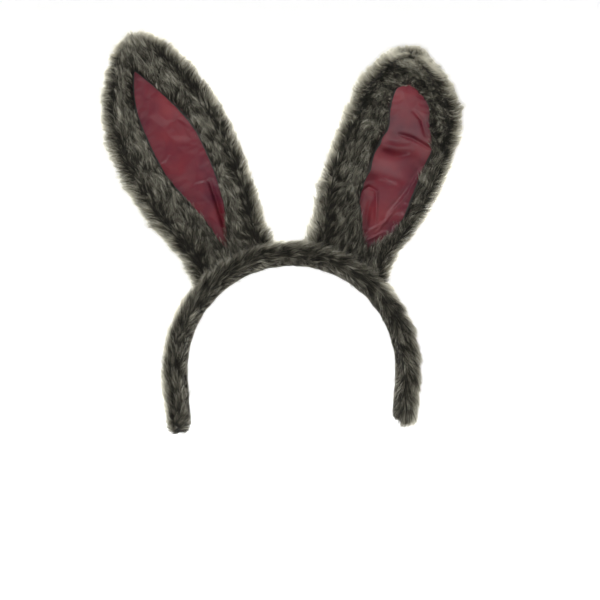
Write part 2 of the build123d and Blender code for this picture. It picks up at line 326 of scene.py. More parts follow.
def new_group(name: str, inputs: dict, outputs: dict) -> tuple:
    """Shader group with named sockets.

    Args:
        name: the group's name.
        inputs: socket name to its kind and starting value.
        outputs: socket name to its kind.

    Returns:
        The desk of the new tree, its input node and its output node.
    """
    tree = bpy.data.node_groups.new(name, "ShaderNodeTree")
    for label, (kind, value) in inputs.items():
        socket = tree.interface.new_socket(name=label, in_out="INPUT", socket_type=kind)
        socket.default_value = value
    for label, kind in outputs.items():
        tree.interface.new_socket(name=label, in_out="OUTPUT", socket_type=kind)
    desk = Desk(tree)
    return desk, desk.add("NodeGroupInput"), desk.add("NodeGroupOutput")


def cloth_weave_group() -> bpy.types.NodeTree:
    """Crossed yarns of a woven cloth, built once.

    Returns:
        The group, which puts out the yarns' height and a shade of their crossings.
    """
    name = "cloth weave"
    if name in bpy.data.node_groups:
        return bpy.data.node_groups[name]
    desk, given, result = new_group(
        name,
        {"Yarns": ("NodeSocketFloat", 2500.0), "Unevenness": ("NodeSocketFloat", 1.5)},
        {"Height": "NodeSocketFloat", "Shade": "NodeSocketFloat"},
    )
    place = desk.add("ShaderNodeTexCoord")
    heights = []
    for direction in ("X", "Z"):
        wave = desk.add("ShaderNodeTexWave", wave_type="BANDS", bands_direction=direction)
        wave.inputs["Detail"].default_value = 1.0
        desk.join(place.outputs["Object"], wave.inputs["Vector"])
        desk.join(given.outputs["Yarns"], wave.inputs["Scale"])
        desk.join(given.outputs["Unevenness"], wave.inputs["Distortion"])
        heights.append(wave.outputs["Fac"])
    height = desk.maths("MAXIMUM", heights[0], heights[1])
    desk.join(height, result.inputs["Height"])
    desk.join(desk.maths("MULTIPLY", heights[0], heights[1]), result.inputs["Shade"])
    return desk.tree


def colour_drift_group() -> bpy.types.NodeTree:
    """Slow change between two dye tones over a piece, built once.

    Returns:
        The group, which puts out the colour and the mask of the drift.
    """
    name = "colour drift"
    if name in bpy.data.node_groups:
        return bpy.data.node_groups[name]
    desk, given, result = new_group(
        name,
        {
            "Tone": ("NodeSocketColor", (0.5, 0.5, 0.5, 1.0)),
            "Worn Tone": ("NodeSocketColor", (0.5, 0.5, 0.5, 1.0)),
            "Patches": ("NodeSocketFloat", 60.0),
        },
        {"Colour": "NodeSocketColor", "Mask": "NodeSocketFloat"},
    )
    place = desk.add("ShaderNodeTexCoord")
    noise = desk.add("ShaderNodeTexNoise")
    noise.inputs["Detail"].default_value = 4.0
    desk.join(place.outputs["Object"], noise.inputs["Vector"])
    desk.join(given.outputs["Patches"], noise.inputs["Scale"])
    mask = desk.spread(noise.outputs[0], 0.35, 0.65)
    colour = desk.mixed(mask, given.outputs["Tone"], given.outputs["Worn Tone"])
    desk.join(colour, result.inputs["Colour"])
    desk.join(mask, result.inputs["Mask"])
    return desk.tree


def twist_group() -> bpy.types.NodeTree:
    """Slanting turns of a twisted thread or a drawn wire, built once.

    Returns:
        The group, which puts out the turns' height.
    """
    name = "twist"
    if name in bpy.data.node_groups:
        return bpy.data.node_groups[name]
    desk, given, result = new_group(
        name, {"Turns": ("NodeSocketFloat", 1500.0)}, {"Height": "NodeSocketFloat"}
    )
    place = desk.add("ShaderNodeTexCoord")
    wave = desk.add("ShaderNodeTexWave", wave_type="BANDS", bands_direction="DIAGONAL")
    wave.inputs["Distortion"].default_value = 0.6
    desk.join(place.outputs["Object"], wave.inputs["Vector"])
    desk.join(given.outputs["Turns"], wave.inputs["Scale"])
    desk.join(wave.outputs["Fac"], result.inputs["Height"])
    return desk.tree


# ------------------------------------------------------------------ finishes
@dataclass(frozen=True)
class Finish:
    """What every finish shares: a name, gloss, and a way to start its material."""

    name: str
    roughness: float
    relief: float = 0.6  # strength of every bump

    def start(self) -> tuple:
        """Empty material with its surface shader.

        Returns:
            The material, its desk and its Principled node.
        """
        material = bpy.data.materials.new(self.name)
        material.use_nodes = True
        desk = Desk(material.node_tree)
        surface = next(n for n in material.node_tree.nodes if n.type == "BSDF_PRINCIPLED")
        surface.inputs["Roughness"].default_value = self.roughness
        return material, desk, surface

    def drift(
        self, desk: Desk, tone: tuple, worn_tone: tuple, patches: float
    ) -> bpy.types.NodeSocket:
        """Colour that drifts slowly between two tones.

        Args:
            desk: the material's desk.
            tone: one colour.
            worn_tone: the other.
            patches: how many patches to the metre.

        Returns:
            The colour.
        """
        node = desk.add("ShaderNodeGroup", node_tree=colour_drift_group())
        desk.give(node.inputs["Tone"], tone)
        desk.give(node.inputs["Worn Tone"], worn_tone)
        desk.give(node.inputs["Patches"], patches)
        return node.outputs["Colour"]

    def bump(
        self, desk: Desk, surface: bpy.types.Node, height: bpy.types.NodeSocket, depth: float
    ) -> None:
        """Give the surface a fine relief.

        Args:
            desk: the material's desk.
            surface: its Principled node.
            height: what the relief follows.
            depth: its depth in metres.
        """
        node = desk.add("ShaderNodeBump")
        node.inputs["Strength"].default_value = self.relief
        node.inputs["Distance"].default_value = depth
        desk.join(height, node.inputs["Height"])
        desk.join(node.outputs[0], surface.inputs["Normal"])


@dataclass(frozen=True)
class PileFinish(Finish):
    """Frosted faux fur: dark at the root, pale towards the tip, strand by strand."""

    dark_strand: tuple = (
        (0.0, (0.002, 0.0018, 0.0015)),
        (0.5, (0.007, 0.006, 0.005)),
        (0.8, (0.022, 0.020, 0.016)),
        (1.0, (0.06, 0.055, 0.044)),
    )
    pale_strand: tuple = (
        (0.0, (0.005, 0.0044, 0.0035)),
        (0.3, (0.045, 0.040, 0.031)),
        (0.6, (0.36, 0.335, 0.26)),
        (1.0, (0.82, 0.79, 0.65)),
    )
    # pale along the whole strand: frosted strands, and also the rim strands made pale as painted
    # rim light
    frosted_and_rim_lit_strand: tuple = (
        (0.0, (0.12, 0.11, 0.09)),
        (0.35, (0.62, 0.59, 0.47)),
        (1.0, (0.97, 0.95, 0.83)),
    )
    frost_and_rim_light_from: float = 0.72  # tone past which a strand is frosted along its whole length
    specular: float = 0.06
    sheen: float = 0.03
    sheen_roughness: float = 0.4
    sheen_tint: tuple = (0.9, 0.86, 0.72)

    def build(self) -> bpy.types.Material:
        """Strands whose colour follows the tone and height in their own map.

        Returns:
            The material.
        """
        material, desk, surface = self.start()
        strand = desk.add("ShaderNodeUVMap", uv_map=STRAND_MAP)
        parts = desk.add("ShaderNodeSeparateXYZ")
        desk.join(strand.outputs[0], parts.inputs[0])
        dark = desk.ramp(parts.outputs[1], list(self.dark_strand))
        pale = desk.ramp(parts.outputs[1], list(self.pale_strand))
        frosted = desk.ramp(parts.outputs[1], list(self.frosted_and_rim_lit_strand))
        tone = desk.spread(parts.outputs[0], 0.0, self.frost_and_rim_light_from)
        frost = desk.spread(parts.outputs[0], self.frost_and_rim_light_from, 1.0)
        colour = desk.mixed(frost, desk.mixed(tone, dark, pale), frosted)
        desk.join(colour, surface.inputs["Base Color"])
        surface.inputs["Specular IOR Level"].default_value = self.specular
        surface.inputs["Sheen Weight"].default_value = self.sheen
        surface.inputs["Sheen Roughness"].default_value = self.sheen_roughness
        surface.inputs["Sheen Tint"].default_value = (*self.sheen_tint, 1.0)
        return material


@dataclass(frozen=True)
class ClothFinish(Finish):
    """Woven or knitted cloth in two close tones."""

    tone: tuple = (0.5, 0.5, 0.5)
    worn_tone: tuple = (0.5, 0.5, 0.5)
    patches: float = 60.0
    yarns: float = 900.0
    yarn_depth: float = 0.0002
    crossing_shade: float = 0.25  # how strongly the yarns' crossings darken
    darkening: float = 0.6
    sheen: float = 0.2

    def build(self) -> bpy.types.Material:
        """Weave in colour and relief.

        Returns:
            The material.
        """
        material, desk, surface = self.start()
        drift = self.drift(desk, self.tone, self.worn_tone, self.patches)
        weave = desk.add("ShaderNodeGroup", node_tree=cloth_weave_group())
        weave.inputs["Yarns"].default_value = self.yarns
        shade = desk.maths("MULTIPLY", weave.outputs["Shade"], self.crossing_shade)
        darker = tuple(self.darkening * part for part in self.tone)
        colour = desk.mixed(shade, drift, darker)
        desk.join(colour, surface.inputs["Base Color"])
        surface.inputs["Sheen Weight"].default_value = self.sheen
        self.bump(desk, surface, weave.outputs["Height"], self.yarn_depth)
        return material


@dataclass(frozen=True)
class SatinFinish(Finish):
    """Satin: a glossy face that shifts from burgundy to mauve, with a very fine weave."""

    tone: tuple = (0.200, 0.024, 0.032)
    deep_tone: tuple = (0.088, 0.012, 0.026)
    mauve: tuple = (0.55, 0.30, 0.42)
    patches: float = 30.0
    yarns: float = 2600.0
    yarn_depth: float = 0.00004
    crossing_shade: float = 0.2  # how strongly the yarns' crossings deepen
    specular: float = 0.45
    anisotropy: float = 0.5
    sheen: float = 0.02
    sheen_roughness: float = 0.3

    def build(self) -> bpy.types.Material:
        """Sheen, a soft directional gloss and a weave.

        Returns:
            The material.
        """
        material, desk, surface = self.start()
        drift = self.drift(desk, self.tone, self.deep_tone, self.patches)
        weave = desk.add("ShaderNodeGroup", node_tree=cloth_weave_group())
        weave.inputs["Yarns"].default_value = self.yarns
        shade = desk.maths("MULTIPLY", weave.outputs["Shade"], self.crossing_shade)
        colour = desk.mixed(shade, drift, self.deep_tone)
        desk.join(colour, surface.inputs["Base Color"])
        surface.inputs["Specular IOR Level"].default_value = self.specular
        surface.inputs["Anisotropic"].default_value = self.anisotropy
        surface.inputs["Sheen Weight"].default_value = self.sheen
        surface.inputs["Sheen Roughness"].default_value = self.sheen_roughness
        surface.inputs["Sheen Tint"].default_value = (*self.mauve, 1.0)
        self.bump(desk, surface, weave.outputs["Height"], self.yarn_depth)
        return material


@dataclass(frozen=True)
class ThreadFinish(Finish):
    """Twisted sewing thread."""

    tone: tuple = (0.5, 0.5, 0.5)
    worn_tone: tuple = (0.4, 0.4, 0.4)
    patches: float = 300.0
    turn_depth: float = 0.0001
    sheen: float = 0.3

    def build(self) -> bpy.types.Material:
        """The thread's turns as relief.

        Returns:
            The material.
        """
        material, desk, surface = self.start()
        drift = self.drift(desk, self.tone, self.worn_tone, self.patches)
        desk.join(drift, surface.inputs["Base Color"])
        surface.inputs["Sheen Weight"].default_value = self.sheen
        turns = desk.add("ShaderNodeGroup", node_tree=twist_group())
        self.bump(desk, surface, turns.outputs["Height"], self.turn_depth)
        return material


@dataclass(frozen=True)
class SteelFinish(Finish):
    """Drawn steel wire with faint die lines and a little tarnish."""

    bright: tuple = (0.56, 0.56, 0.58)
    tarnished: tuple = (0.30, 0.29, 0.28)
    patches: float = 180.0
    turns: float = 2400.0
    turn_depth: float = 0.00002

    def build(self) -> bpy.types.Material:
        """Metal with drift in colour and drawn lines as relief.

        Returns:
            The material.
        """
        material, desk, surface = self.start()
        surface.inputs["Metallic"].default_value = 1.0
        drift = self.drift(desk, self.bright, self.tarnished, self.patches)
        desk.join(drift, surface.inputs["Base Color"])
        turns = desk.add("ShaderNodeGroup", node_tree=twist_group())
        turns.inputs["Turns"].default_value = self.turns
        self.bump(desk, surface, turns.outputs["Height"], self.turn_depth)
        return material


@dataclass(frozen=True)
class PlasticFinish(Finish):
    """Moulded black plastic with a fine texture and rubbed patches."""

    tone: tuple = (0.016, 0.016, 0.018)
    rubbed: tuple = (0.05, 0.05, 0.054)
    patches: float = 90.0
    grain: float = 2200.0
    grain_depth: float = 0.00006

    def build(self) -> bpy.types.Material:
        """Moulded grain as relief.

        Returns:
            The material.
        """
        material, desk, surface = self.start()
        drift = self.drift(desk, self.tone, self.rubbed, self.patches)
        desk.join(drift, surface.inputs["Base Color"])
        self.bump(desk, surface, desk.noise(self.grain), self.grain_depth)
        return material


@dataclass(frozen=True)
class StudioFinish(Finish):
    """Pale paper of the studio floor and backdrop."""

    tone: tuple = (0.80, 0.80, 0.79)
    glow: float = 0.75  # evens the paper out to near white without lighting the piece

    def build(self) -> bpy.types.Material:
        """Paper grain and an even glow for the camera.

        Returns:
            The material.
        """
        material, desk, surface = self.start()
        paler = tuple(min(part * 1.03, 1.0) for part in self.tone)
        colour = desk.mixed(desk.noise(3.0), self.tone, paler)
        desk.join(colour, surface.inputs["Base Color"])
        surface.inputs["Specular IOR Level"].default_value = 0.1
        seen = desk.add("ShaderNodeLightPath").outputs["Is Camera Ray"]
        desk.join(desk.maths("MULTIPLY", seen, self.glow), surface.inputs["Emission Strength"])
        surface.inputs["Emission Color"].default_value = (1.0, 1.0, 1.0, 1.0)
        return material


# ------------------------------------------------------------------ fabric and pile
@dataclass
class Fabric:
    """A sheet of points in rows and columns, with what the pile on it needs to know."""

    points: np.ndarray  # rows x columns x 3, metres
    lay: np.ndarray  # same shape: the way the pile leans
    length: np.ndarray  # rows x columns: pile length, metres
    cover: np.ndarray  # rows x columns: how densely the pile grows, 0 to 1
    tone: np.ndarray  # rows x columns: how pale the pile is, 0 to 1
    outward: float = 1.0  # sign that turns the sheet's own normals outward

    def normals(self) -> np.ndarray:
        """Which way the sheet faces.

        Returns:
            The outward unit normal at every point.
        """
        along = np.gradient(self.points, axis=0)
        across = np.gradient(self.points, axis=1)
        return unit(np.cross(along, across)) * self.outward

    def faces(self) -> np.ndarray:
        """Faces between the rows and columns, wound to face outward.

        Returns:
            Four point numbers for each face.
        """
        rows, columns = self.points.shape[:2]
        number = np.arange(rows * columns).reshape(rows, columns)
        corners = (number[:-1, :-1], number[1:, :-1], number[1:, 1:], number[:-1, 1:])
        faces = np.stack([corner.ravel() for corner in corners], axis=1)
        return faces if self.outward > 0 else faces[:, ::-1]

    def cut(self, rows: slice = slice(None), columns: slice = slice(None)) -> "Fabric":
        """Part of the sheet.

        Args:
            rows: the rows to keep.
            columns: the columns to keep.

        Returns:
            The smaller sheet.
        """
        maps = (self.points, self.lay, self.length, self.cover, self.tone)
        return Fabric(*[values[rows, columns] for values in maps], self.outward)

    def mesh(self, name: str, weld: float = 0.00002) -> bpy.types.Mesh:
        """The sheet as a mesh, with points that meet welded together.

        Args:
            name: the mesh's name.
            weld: points closer than this become one.

        Returns:
            The mesh.
        """
        mesh = mesh_from(name, self.points.reshape(-1, 3), self.faces())
        weld_close_points(mesh, weld)
        return mesh


def bare_fabric(points: np.ndarray, outward: float = 1.0) -> Fabric:
    """Fabric that no pile grows on.

    Args:
        points: rows x columns x 3, in metres.
        outward: sign that turns the sheet's own normals outward.

    Returns:
        The fabric, with empty maps for its pile.
    """
    blank = np.zeros(points.shape[:2])
    return Fabric(points, points, blank, blank, blank, outward)


def weld_close_points(mesh: bpy.types.Mesh, distance: float) -> None:
    """Merge points that meet, and drop faces that vanish.

    Args:
        mesh: the mesh to clean, in place.
        distance: points closer than this become one.
    """
    work = bmesh.new()
    work.from_mesh(mesh)
    bmesh.ops.remove_doubles(work, verts=work.verts, dist=distance)
    bmesh.ops.dissolve_degenerate(work, edges=work.edges, dist=distance / 2)
    work.to_mesh(mesh)
    work.free()
    mesh.polygons.foreach_set("use_smooth", np.ones(len(mesh.polygons), bool))


@dataclass
class Pile:
    """Faux fur grown on a fabric, strand by strand."""

    seed: int
    per_square_mm: float = 3.0
    thickness: float = 0.000078  # radius of a strand at its root, metres
    stand: float = 0.6  # share of a strand's length that rises from the fabric
    sway: float = 0.32  # how far the lay wanders, radians
    jitter: float = 0.22  # how far each strand's own lay strays, radians
    middle_rise: float = 0.58  # share of the rise and of the run where a strand bends
    middle_run: float = 0.33
    clump_share: float = 0.28  # locks per strand
    clump_pull: float = 0.58  # how far a strand's tip is drawn to its lock
    middle_pull: float = 0.6  # how much of that pull its middle feels
    tone_base: float = -0.21
    lock_tone: float = 0.92  # how much paler the palest locks are
    lock_rarity: float = 3.4  # more makes pale locks rarer
    own_tone: float = 0.28  # spread of tone within a lock
    tone_drift: float = 0.13
    map_width: float = 0.012  # half a strand's width on its own map

    def grow(self, name: str, fabric: Fabric, material: bpy.types.Material) -> bpy.types.Object:
        """Grow the strands over a fabric.

        Args:
            name: the piece's name.
            fabric: what the strands are rooted in.
            material: their finish.

        Returns:
            One object that holds all the strands.
        """
        rng = np.random.default_rng(self.seed)
        root, normal, lay, length, tone = self.roots(fabric, rng)
        count = len(root)
        lock = self.locks(root, rng)
        lay = self.wander(root, normal, lay, rng)
        drift = 1 + 0.12 * Ripple(self.seed + 5, 0.011)(root)
        length = length * rng.uniform(0.72, 1.12, count) * drift
        rise = normal * (length * self.stand * rng.uniform(0.85, 1.15, count))[:, None]
        run = lay * (length * math.sqrt(1 - self.stand**2) * rng.uniform(0.8, 1.2, count))[:, None]
        middle = root + rise * self.middle_rise + run * self.middle_run
        tip = root + rise + run
        middle += (middle[lock] - middle) * self.clump_pull * self.middle_pull
        tip += (tip[lock] - tip) * self.clump_pull
        tone = self.tones(root, lock, tone, rng)
        return self.strands(name, root, middle, tip, tone, material, rng)

    def roots(self, fabric: Fabric, rng: np.random.Generator) -> tuple:
        """Where strands start, spread evenly by area.

        Args:
            fabric: what they are rooted in.
            rng: the seeded source of chance.

        Returns:
            Positions, normals, lay directions, lengths and tones.
        """
        p, n = fabric.points, fabric.normals()
        edge_a = p[1:, :-1] - p[:-1, :-1]
        edge_b = p[:-1, 1:] - p[:-1, :-1]
        area = np.linalg.norm(np.cross(edge_a, edge_b), axis=-1)
        cover = (fabric.cover[1:, 1:] + fabric.cover[:-1, :-1]) / 2
        weight = (area * cover).ravel()
        count = int(weight.sum() * SQUARE_MM_PER_METRE * self.per_square_mm)
        cell = rng.choice(len(weight), size=count, p=weight / weight.sum())
        row, column = np.divmod(cell, p.shape[1] - 1)
        a, b = rng.random(count), rng.random(count)
        shares = ((1 - a) * (1 - b), a * (1 - b), a * b, (1 - a) * b)
        corners = ((0, 0), (1, 0), (1, 1), (0, 1))

        def blended(values: np.ndarray) -> np.ndarray:
            """Value inside each chosen cell, from its four corners.

            Args:
                values: one of the fabric's maps.

            Returns:
                One value, or one row of values, per strand.
            """
            flat = values[..., None] if values.ndim == 2 else values
            total = sum(
                share[:, None] * flat[row + i, column + j]
                for share, (i, j) in zip(shares, corners)
            )
            return total[:, 0] if values.ndim == 2 else total

        maps = (fabric.lay, fabric.length, fabric.tone)
        return blended(p), unit(blended(n)), *[blended(values) for values in maps]

    def locks(self, root: np.ndarray, rng: np.random.Generator) -> np.ndarray:
        """The strand that each strand leans towards, which makes locks.

        Args:
            root: where the strands start.
            rng: the seeded source of chance.

        Returns:
            A strand number for every strand.
        """
        leaders = rng.choice(len(root), max(int(len(root) * self.clump_share), 1), replace=False)
        tree = KDTree(len(leaders))
        for leader in leaders:
            tree.insert(root[leader], int(leader))
        tree.balance()
        return np.array([tree.find(point)[1] for point in root])

    def wander(
        self, root: np.ndarray, normal: np.ndarray, lay: np.ndarray, rng: np.random.Generator
    ) -> np.ndarray:
        """Turn each strand's lay a little about its normal.

        Args:
            root: where the strands start.
            normal: the fabric's normal there.
            lay: the way they lean.
            rng: the seeded source of chance.

        Returns:
            The turned directions.
        """
        flat = unit(lay - normal * np.sum(lay * normal, axis=1)[:, None])
        drift = Ripple(self.seed + 1, 0.016)(root) + 0.6 * Ripple(self.seed + 2, 0.006)(root)
        turn = self.sway * drift + rng.normal(0, self.jitter, len(root))
        side = np.cross(normal, flat)
        return flat * np.cos(turn)[:, None] + side * np.sin(turn)[:, None]

    def tones(
        self, root: np.ndarray, lock: np.ndarray, tone: np.ndarray, rng: np.random.Generator
    ) -> np.ndarray:
        """How pale each strand is.

        Args:
            root: where the strands start.
            lock: the lock each belongs to.
            tone: how pale the pile is meant to be there.
            rng: the seeded source of chance.

        Returns:
            Values from 0, dark, to 1, pale.
        """
        own = rng.random(len(root))
        patch = Ripple(self.seed + 3, 0.010)(root)
        tone = tone + self.tone_base + self.lock_tone * own[lock] ** self.lock_rarity
        tone = tone + self.own_tone * (own - 0.5) + self.tone_drift * patch
        return np.clip(tone, 0.03, 0.97)

    def strands(
        self,
        name: str,
        root: np.ndarray,
        middle: np.ndarray,
        tip: np.ndarray,
        tone: np.ndarray,
        material: bpy.types.Material,
        rng: np.random.Generator,
    ) -> bpy.types.Object:
        """Three-sided tapered strands through root, middle and tip.

        Args:
            name: the piece's name.
            root: N starting points.
            middle: N points part of the way.
            tip: N end points.
            tone: N values that pick the strand's colour.
            material: the strands' finish.
            rng: the seeded source of chance.

        Returns:
            The object.
        """
        count = len(root)
        side = unit(np.cross(tip - root, rng.normal(size=(count, 3))))
        other = unit(np.cross(tip - root, side))
        radius = self.thickness * rng.uniform(0.75, 1.3, count)
        points = np.empty((count, 7, 3))
        for corner in range(3):
            turn = 2 * math.pi * corner / 3
            arm = side * math.cos(turn) + other * math.sin(turn)
            points[:, corner] = root + arm * radius[:, None]
            points[:, 3 + corner] = middle + arm * radius[:, None] * 0.85
        points[:, 6] = tip
        pattern = [(0, 1, 4), (0, 4, 3), (1, 2, 5), (1, 5, 4), (2, 0, 3), (2, 3, 5)]
        pattern += [(3, 4, 6), (4, 5, 6), (5, 3, 6)]
        pattern = np.array(pattern)
        faces = (np.arange(count)[:, None, None] * 7 + pattern[None]).reshape(-1, 3)
        mesh = mesh_from(name, points.reshape(-1, 3), faces)
        spread = np.array([-self.map_width, 0.0, self.map_width] * 2 + [0.0])
        height = np.array([0.0] * 3 + [0.5] * 3 + [1.0])
        u = tone[:, None] + spread[None]
        v = np.broadcast_to(height[None], u.shape)
        corners = np.stack([u, v], axis=-1).reshape(-1, 2)[faces.ravel()]
        layer = mesh.uv_layers.new(name=STRAND_MAP)
        layer.data.foreach_set("uv", corners.astype(np.float32).ravel())
        return show(name, mesh, material)


# ------------------------------------------------------------------ cloth simulation
@dataclass(frozen=True)
class ClothRun:
    """One short cloth simulation that lets a sheet of fabric settle into soft folds."""

    frames: int = 16
    pressure: float = 0.0
    slack: float = 0.0  # extra cloth, as a share of its own size
    cap: float = 0.003  # farthest a point may end from where it began, metres
    stiffness: float = 8.0
    bending: float = 0.4

    def settle(self, points: np.ndarray, faces: np.ndarray, held: np.ndarray) -> np.ndarray:
        """Run it and read the settled points back.

        Args:
            points: N starting positions in metres.
            faces: M rows of point numbers.
            held: N shares from 0, free, to 1, sewn down.

        Returns:
            N settled positions.
        """
        mesh = mesh_from("settling", points, faces)
        cloth = bpy.data.objects.new("settling", mesh)
        scene = bpy.context.scene
        scene.collection.objects.link(cloth)
        group = cloth.vertex_groups.new(name="sewn")
        for number in np.flatnonzero(held > 0):
            group.add([int(number)], float(held[number]), "REPLACE")
        added = cloth.modifiers.new("cloth", "CLOTH")
        added.settings.quality = 5
        added.settings.mass = 0.2
        added.settings.tension_stiffness = self.stiffness
        added.settings.compression_stiffness = self.stiffness
        added.settings.shear_stiffness = self.stiffness / 2
        added.settings.bending_stiffness = self.bending
        added.settings.vertex_group_mass = group.name
        added.settings.shrink_min = -self.slack
        added.settings.use_pressure = self.pressure > 0
        added.settings.uniform_pressure_force = self.pressure
        added.settings.effector_weights.gravity = 0.0
        added.collision_settings.use_collision = False
        added.point_cache.frame_start = 1
        added.point_cache.frame_end = self.frames
        for frame_number in range(1, self.frames + 1):
            scene.frame_set(frame_number)
        settled = cloth.evaluated_get(bpy.context.evaluated_depsgraph_get()).to_mesh()
        moved = np.empty(len(settled.vertices) * 3, np.float32)
        settled.vertices.foreach_get("co", moved)
        bpy.data.objects.remove(cloth)
        scene.frame_set(1)
        step = moved.reshape(-1, 3) - points
        reach = np.linalg.norm(step, axis=1, keepdims=True)
        return points + step * np.minimum(1.0, self.cap / np.maximum(reach, 1e-9))


# ------------------------------------------------------------------ the ears
@dataclass
class Ear:
    """One wired, padded rabbit ear. Lengths are in millimetres: u outward, v up, n forward."""

    side: Side
    bow: float  # outward curve of the whole ear
    opening: tuple  # height, inner edge and outer edge of the lining that shows
    creases: tuple
    seed: int
    length: float = 173.0
    half_width: float = 45.0
    base_half_width: float = 30.5
    widest_at: float = 84.0
    bow_at: float = 0.6
    tip_return: float = 0.7
    tip_curl: float = 0.0  # extra forward curl of the last third, degrees
    fold_line: float = 9.0
    fold_zone: float = 8.0  # half the stretch over which the ear folds
    bend_line: float = 88.0
    bend_zone: float = 18.0  # half the stretch over which the ear bends
    wire_reach: float = 70.0  # degrees the wire can bend forward from straight
    wire_inset: float = 9.0
    wire_radius: float = 0.8
    pile_depth: float = 6.0
    border_pile: float = 9.0  # length of the strands on the front border
    floor_pile: float = 8.0
    back_pile: float = 8.4
    hidden_base: float = 13.0  # fabric below the ear's zero line, inside the band's pile
    split_line: float = 45.0  # between the piece that folds at the base and the one that bends
    border_rise: float = 3.0  # padding in the front border
    floor_depth: float = 7.2  # from the border down to the fabric under the lining
    lining_dip: float = 3.2  # from the border down to the middle of the lining
    tuck: float = 3.0  # lining hidden under the border
    stitch_length: float = 3.2
    stitch_pitch: float = 6.0
    stitch_setback: float = 1.2  # from the lining's visible edge into the border
    stitch_arch: float = 0.4
    thread_radius: float = 0.35
    border_columns: int = 17
    floor_columns: int = 11
    back_columns: int = 34
    rings: int = 110
    crowding: float = 1.45  # more brings the rings closer together towards the tip
    lining_rows: int = 190
    lining_columns: int = 64
    wire_points: int = 60
    wire_corners: int = 10
    stitch_rings: int = 5
    stitch_corners: int = 6
    pieces: list = field(default_factory=list)

    def __post_init__(self) -> None:
        """Take the ear's place and rest bend from the frame's joints."""
        fold = joint_named(f"{self.side.value}_ear_fold")
        bend = joint_named(f"{self.side.value}_ear_bend")
        self.across = unit(np.array(fold["axis"], float))
        self.up = unit(np.array(bend["pos_m"], float) - np.array(fold["pos_m"], float))
        self.front = np.cross(self.across, self.up)
        self.origin = np.array(fold["pos_m"], float) - self.up * self.fold_line * MM
        self.rest_bend = math.radians(self.wire_reach - bend["range_deg"][1])

    def place(self, u: np.ndarray, v: np.ndarray, n: np.ndarray) -> np.ndarray:
        """Points of the ear in the frame, with its rest bend.

        Args:
            u: outward, millimetres.
            v: up the ear.
            n: to the front.

        Returns:
            Positions in metres.
        """
        steps = np.linspace(-30.0, 200.0, 461)
        low, high = self.bend_line - self.bend_zone, self.bend_line + self.bend_zone
        turns = self.rest_bend * ease(low, high, steps)
        turns = turns + math.radians(self.tip_curl) * ease(high, self.length, steps)
        pitch = steps[1] - steps[0]
        rise = steps[0] + np.concatenate([[0], np.cumsum(np.cos(turns[:-1])) * pitch])
        reach = np.concatenate([[0], np.cumsum(np.sin(turns[:-1])) * pitch])
        turn = np.interp(v, steps, turns)
        bent_v = np.interp(v, steps, rise) - n * np.sin(turn)
        bent_n = np.interp(v, steps, reach) + n * np.cos(turn)
        parts = (u * self.side.sign, self.across), (bent_v, self.up), (bent_n, self.front)
        return self.origin + sum(part[..., None] * MM * way for part, way in parts)

    def half(self, v: np.ndarray, inset: float) -> np.ndarray:
        """Half the ear's width.

        Args:
            v: heights up the ear.
            inset: how far the outline is drawn in.

        Returns:
            Half widths at those heights.
        """
        length, widest = self.length - inset, self.half_width - inset
        narrow = self.base_half_width / self.half_width
        rise = np.clip(v, self.fold_line, self.widest_at) / self.widest_at
        swell = np.sin(math.pi / 2 * rise) ** 1.1
        past = np.clip((v - self.widest_at) / (length - self.widest_at), 0, 1)
        pinch = 2.5 * math.sin(self.rest_bend) * np.exp(-(((v - self.bend_line) / 24) ** 2))
        return (widest - pinch) * (narrow + (1 - narrow) * swell) * (1 - past**1.9) ** 0.62

    def middle(self, v: np.ndarray) -> np.ndarray:
        """Outward shift of the ear's middle line: it rises to the bow, then eases back.

        Args:
            v: heights up the ear.

        Returns:
            The shift at those heights.
        """
        share = np.clip(v, self.fold_line, self.length) / self.length
        rising = np.sin(math.pi / 2 * np.minimum(share / self.bow_at, 1))
        past = np.clip((share - self.bow_at) / (1 - self.bow_at), 0, 1)
        return self.bow * rising * np.cos(math.pi / 2 * self.tip_return * past)

    def cup(self, u: np.ndarray, v: np.ndarray) -> np.ndarray:
        """How far the ear's edges stand forward of its middle, more towards the base.

        Args:
            u: outward places.
            v: heights up the ear.

        Returns:
            The change in forward place.
        """
        across = (u - self.middle(v)) / np.maximum(self.half(v, self.pile_depth), 0.1)
        depth = 1.4 + 2.0 * (1 - ease(10.0, 80.0, v)) + 0.8 * ease(60.0, 110.0, v)
        return depth * (np.minimum(across**2, 1) - 0.55)

    def ring_heights(self) -> np.ndarray:
        """Rings of fabric, closer together towards the tip.

        Returns:
            Their heights, from the bottom up.
        """
        top = self.length - self.pile_depth
        share = np.linspace(0, 1, self.rings)
        rise = 1 - (1 - share) ** self.crowding
        return -self.hidden_base + (top + self.hidden_base - 0.02) * rise

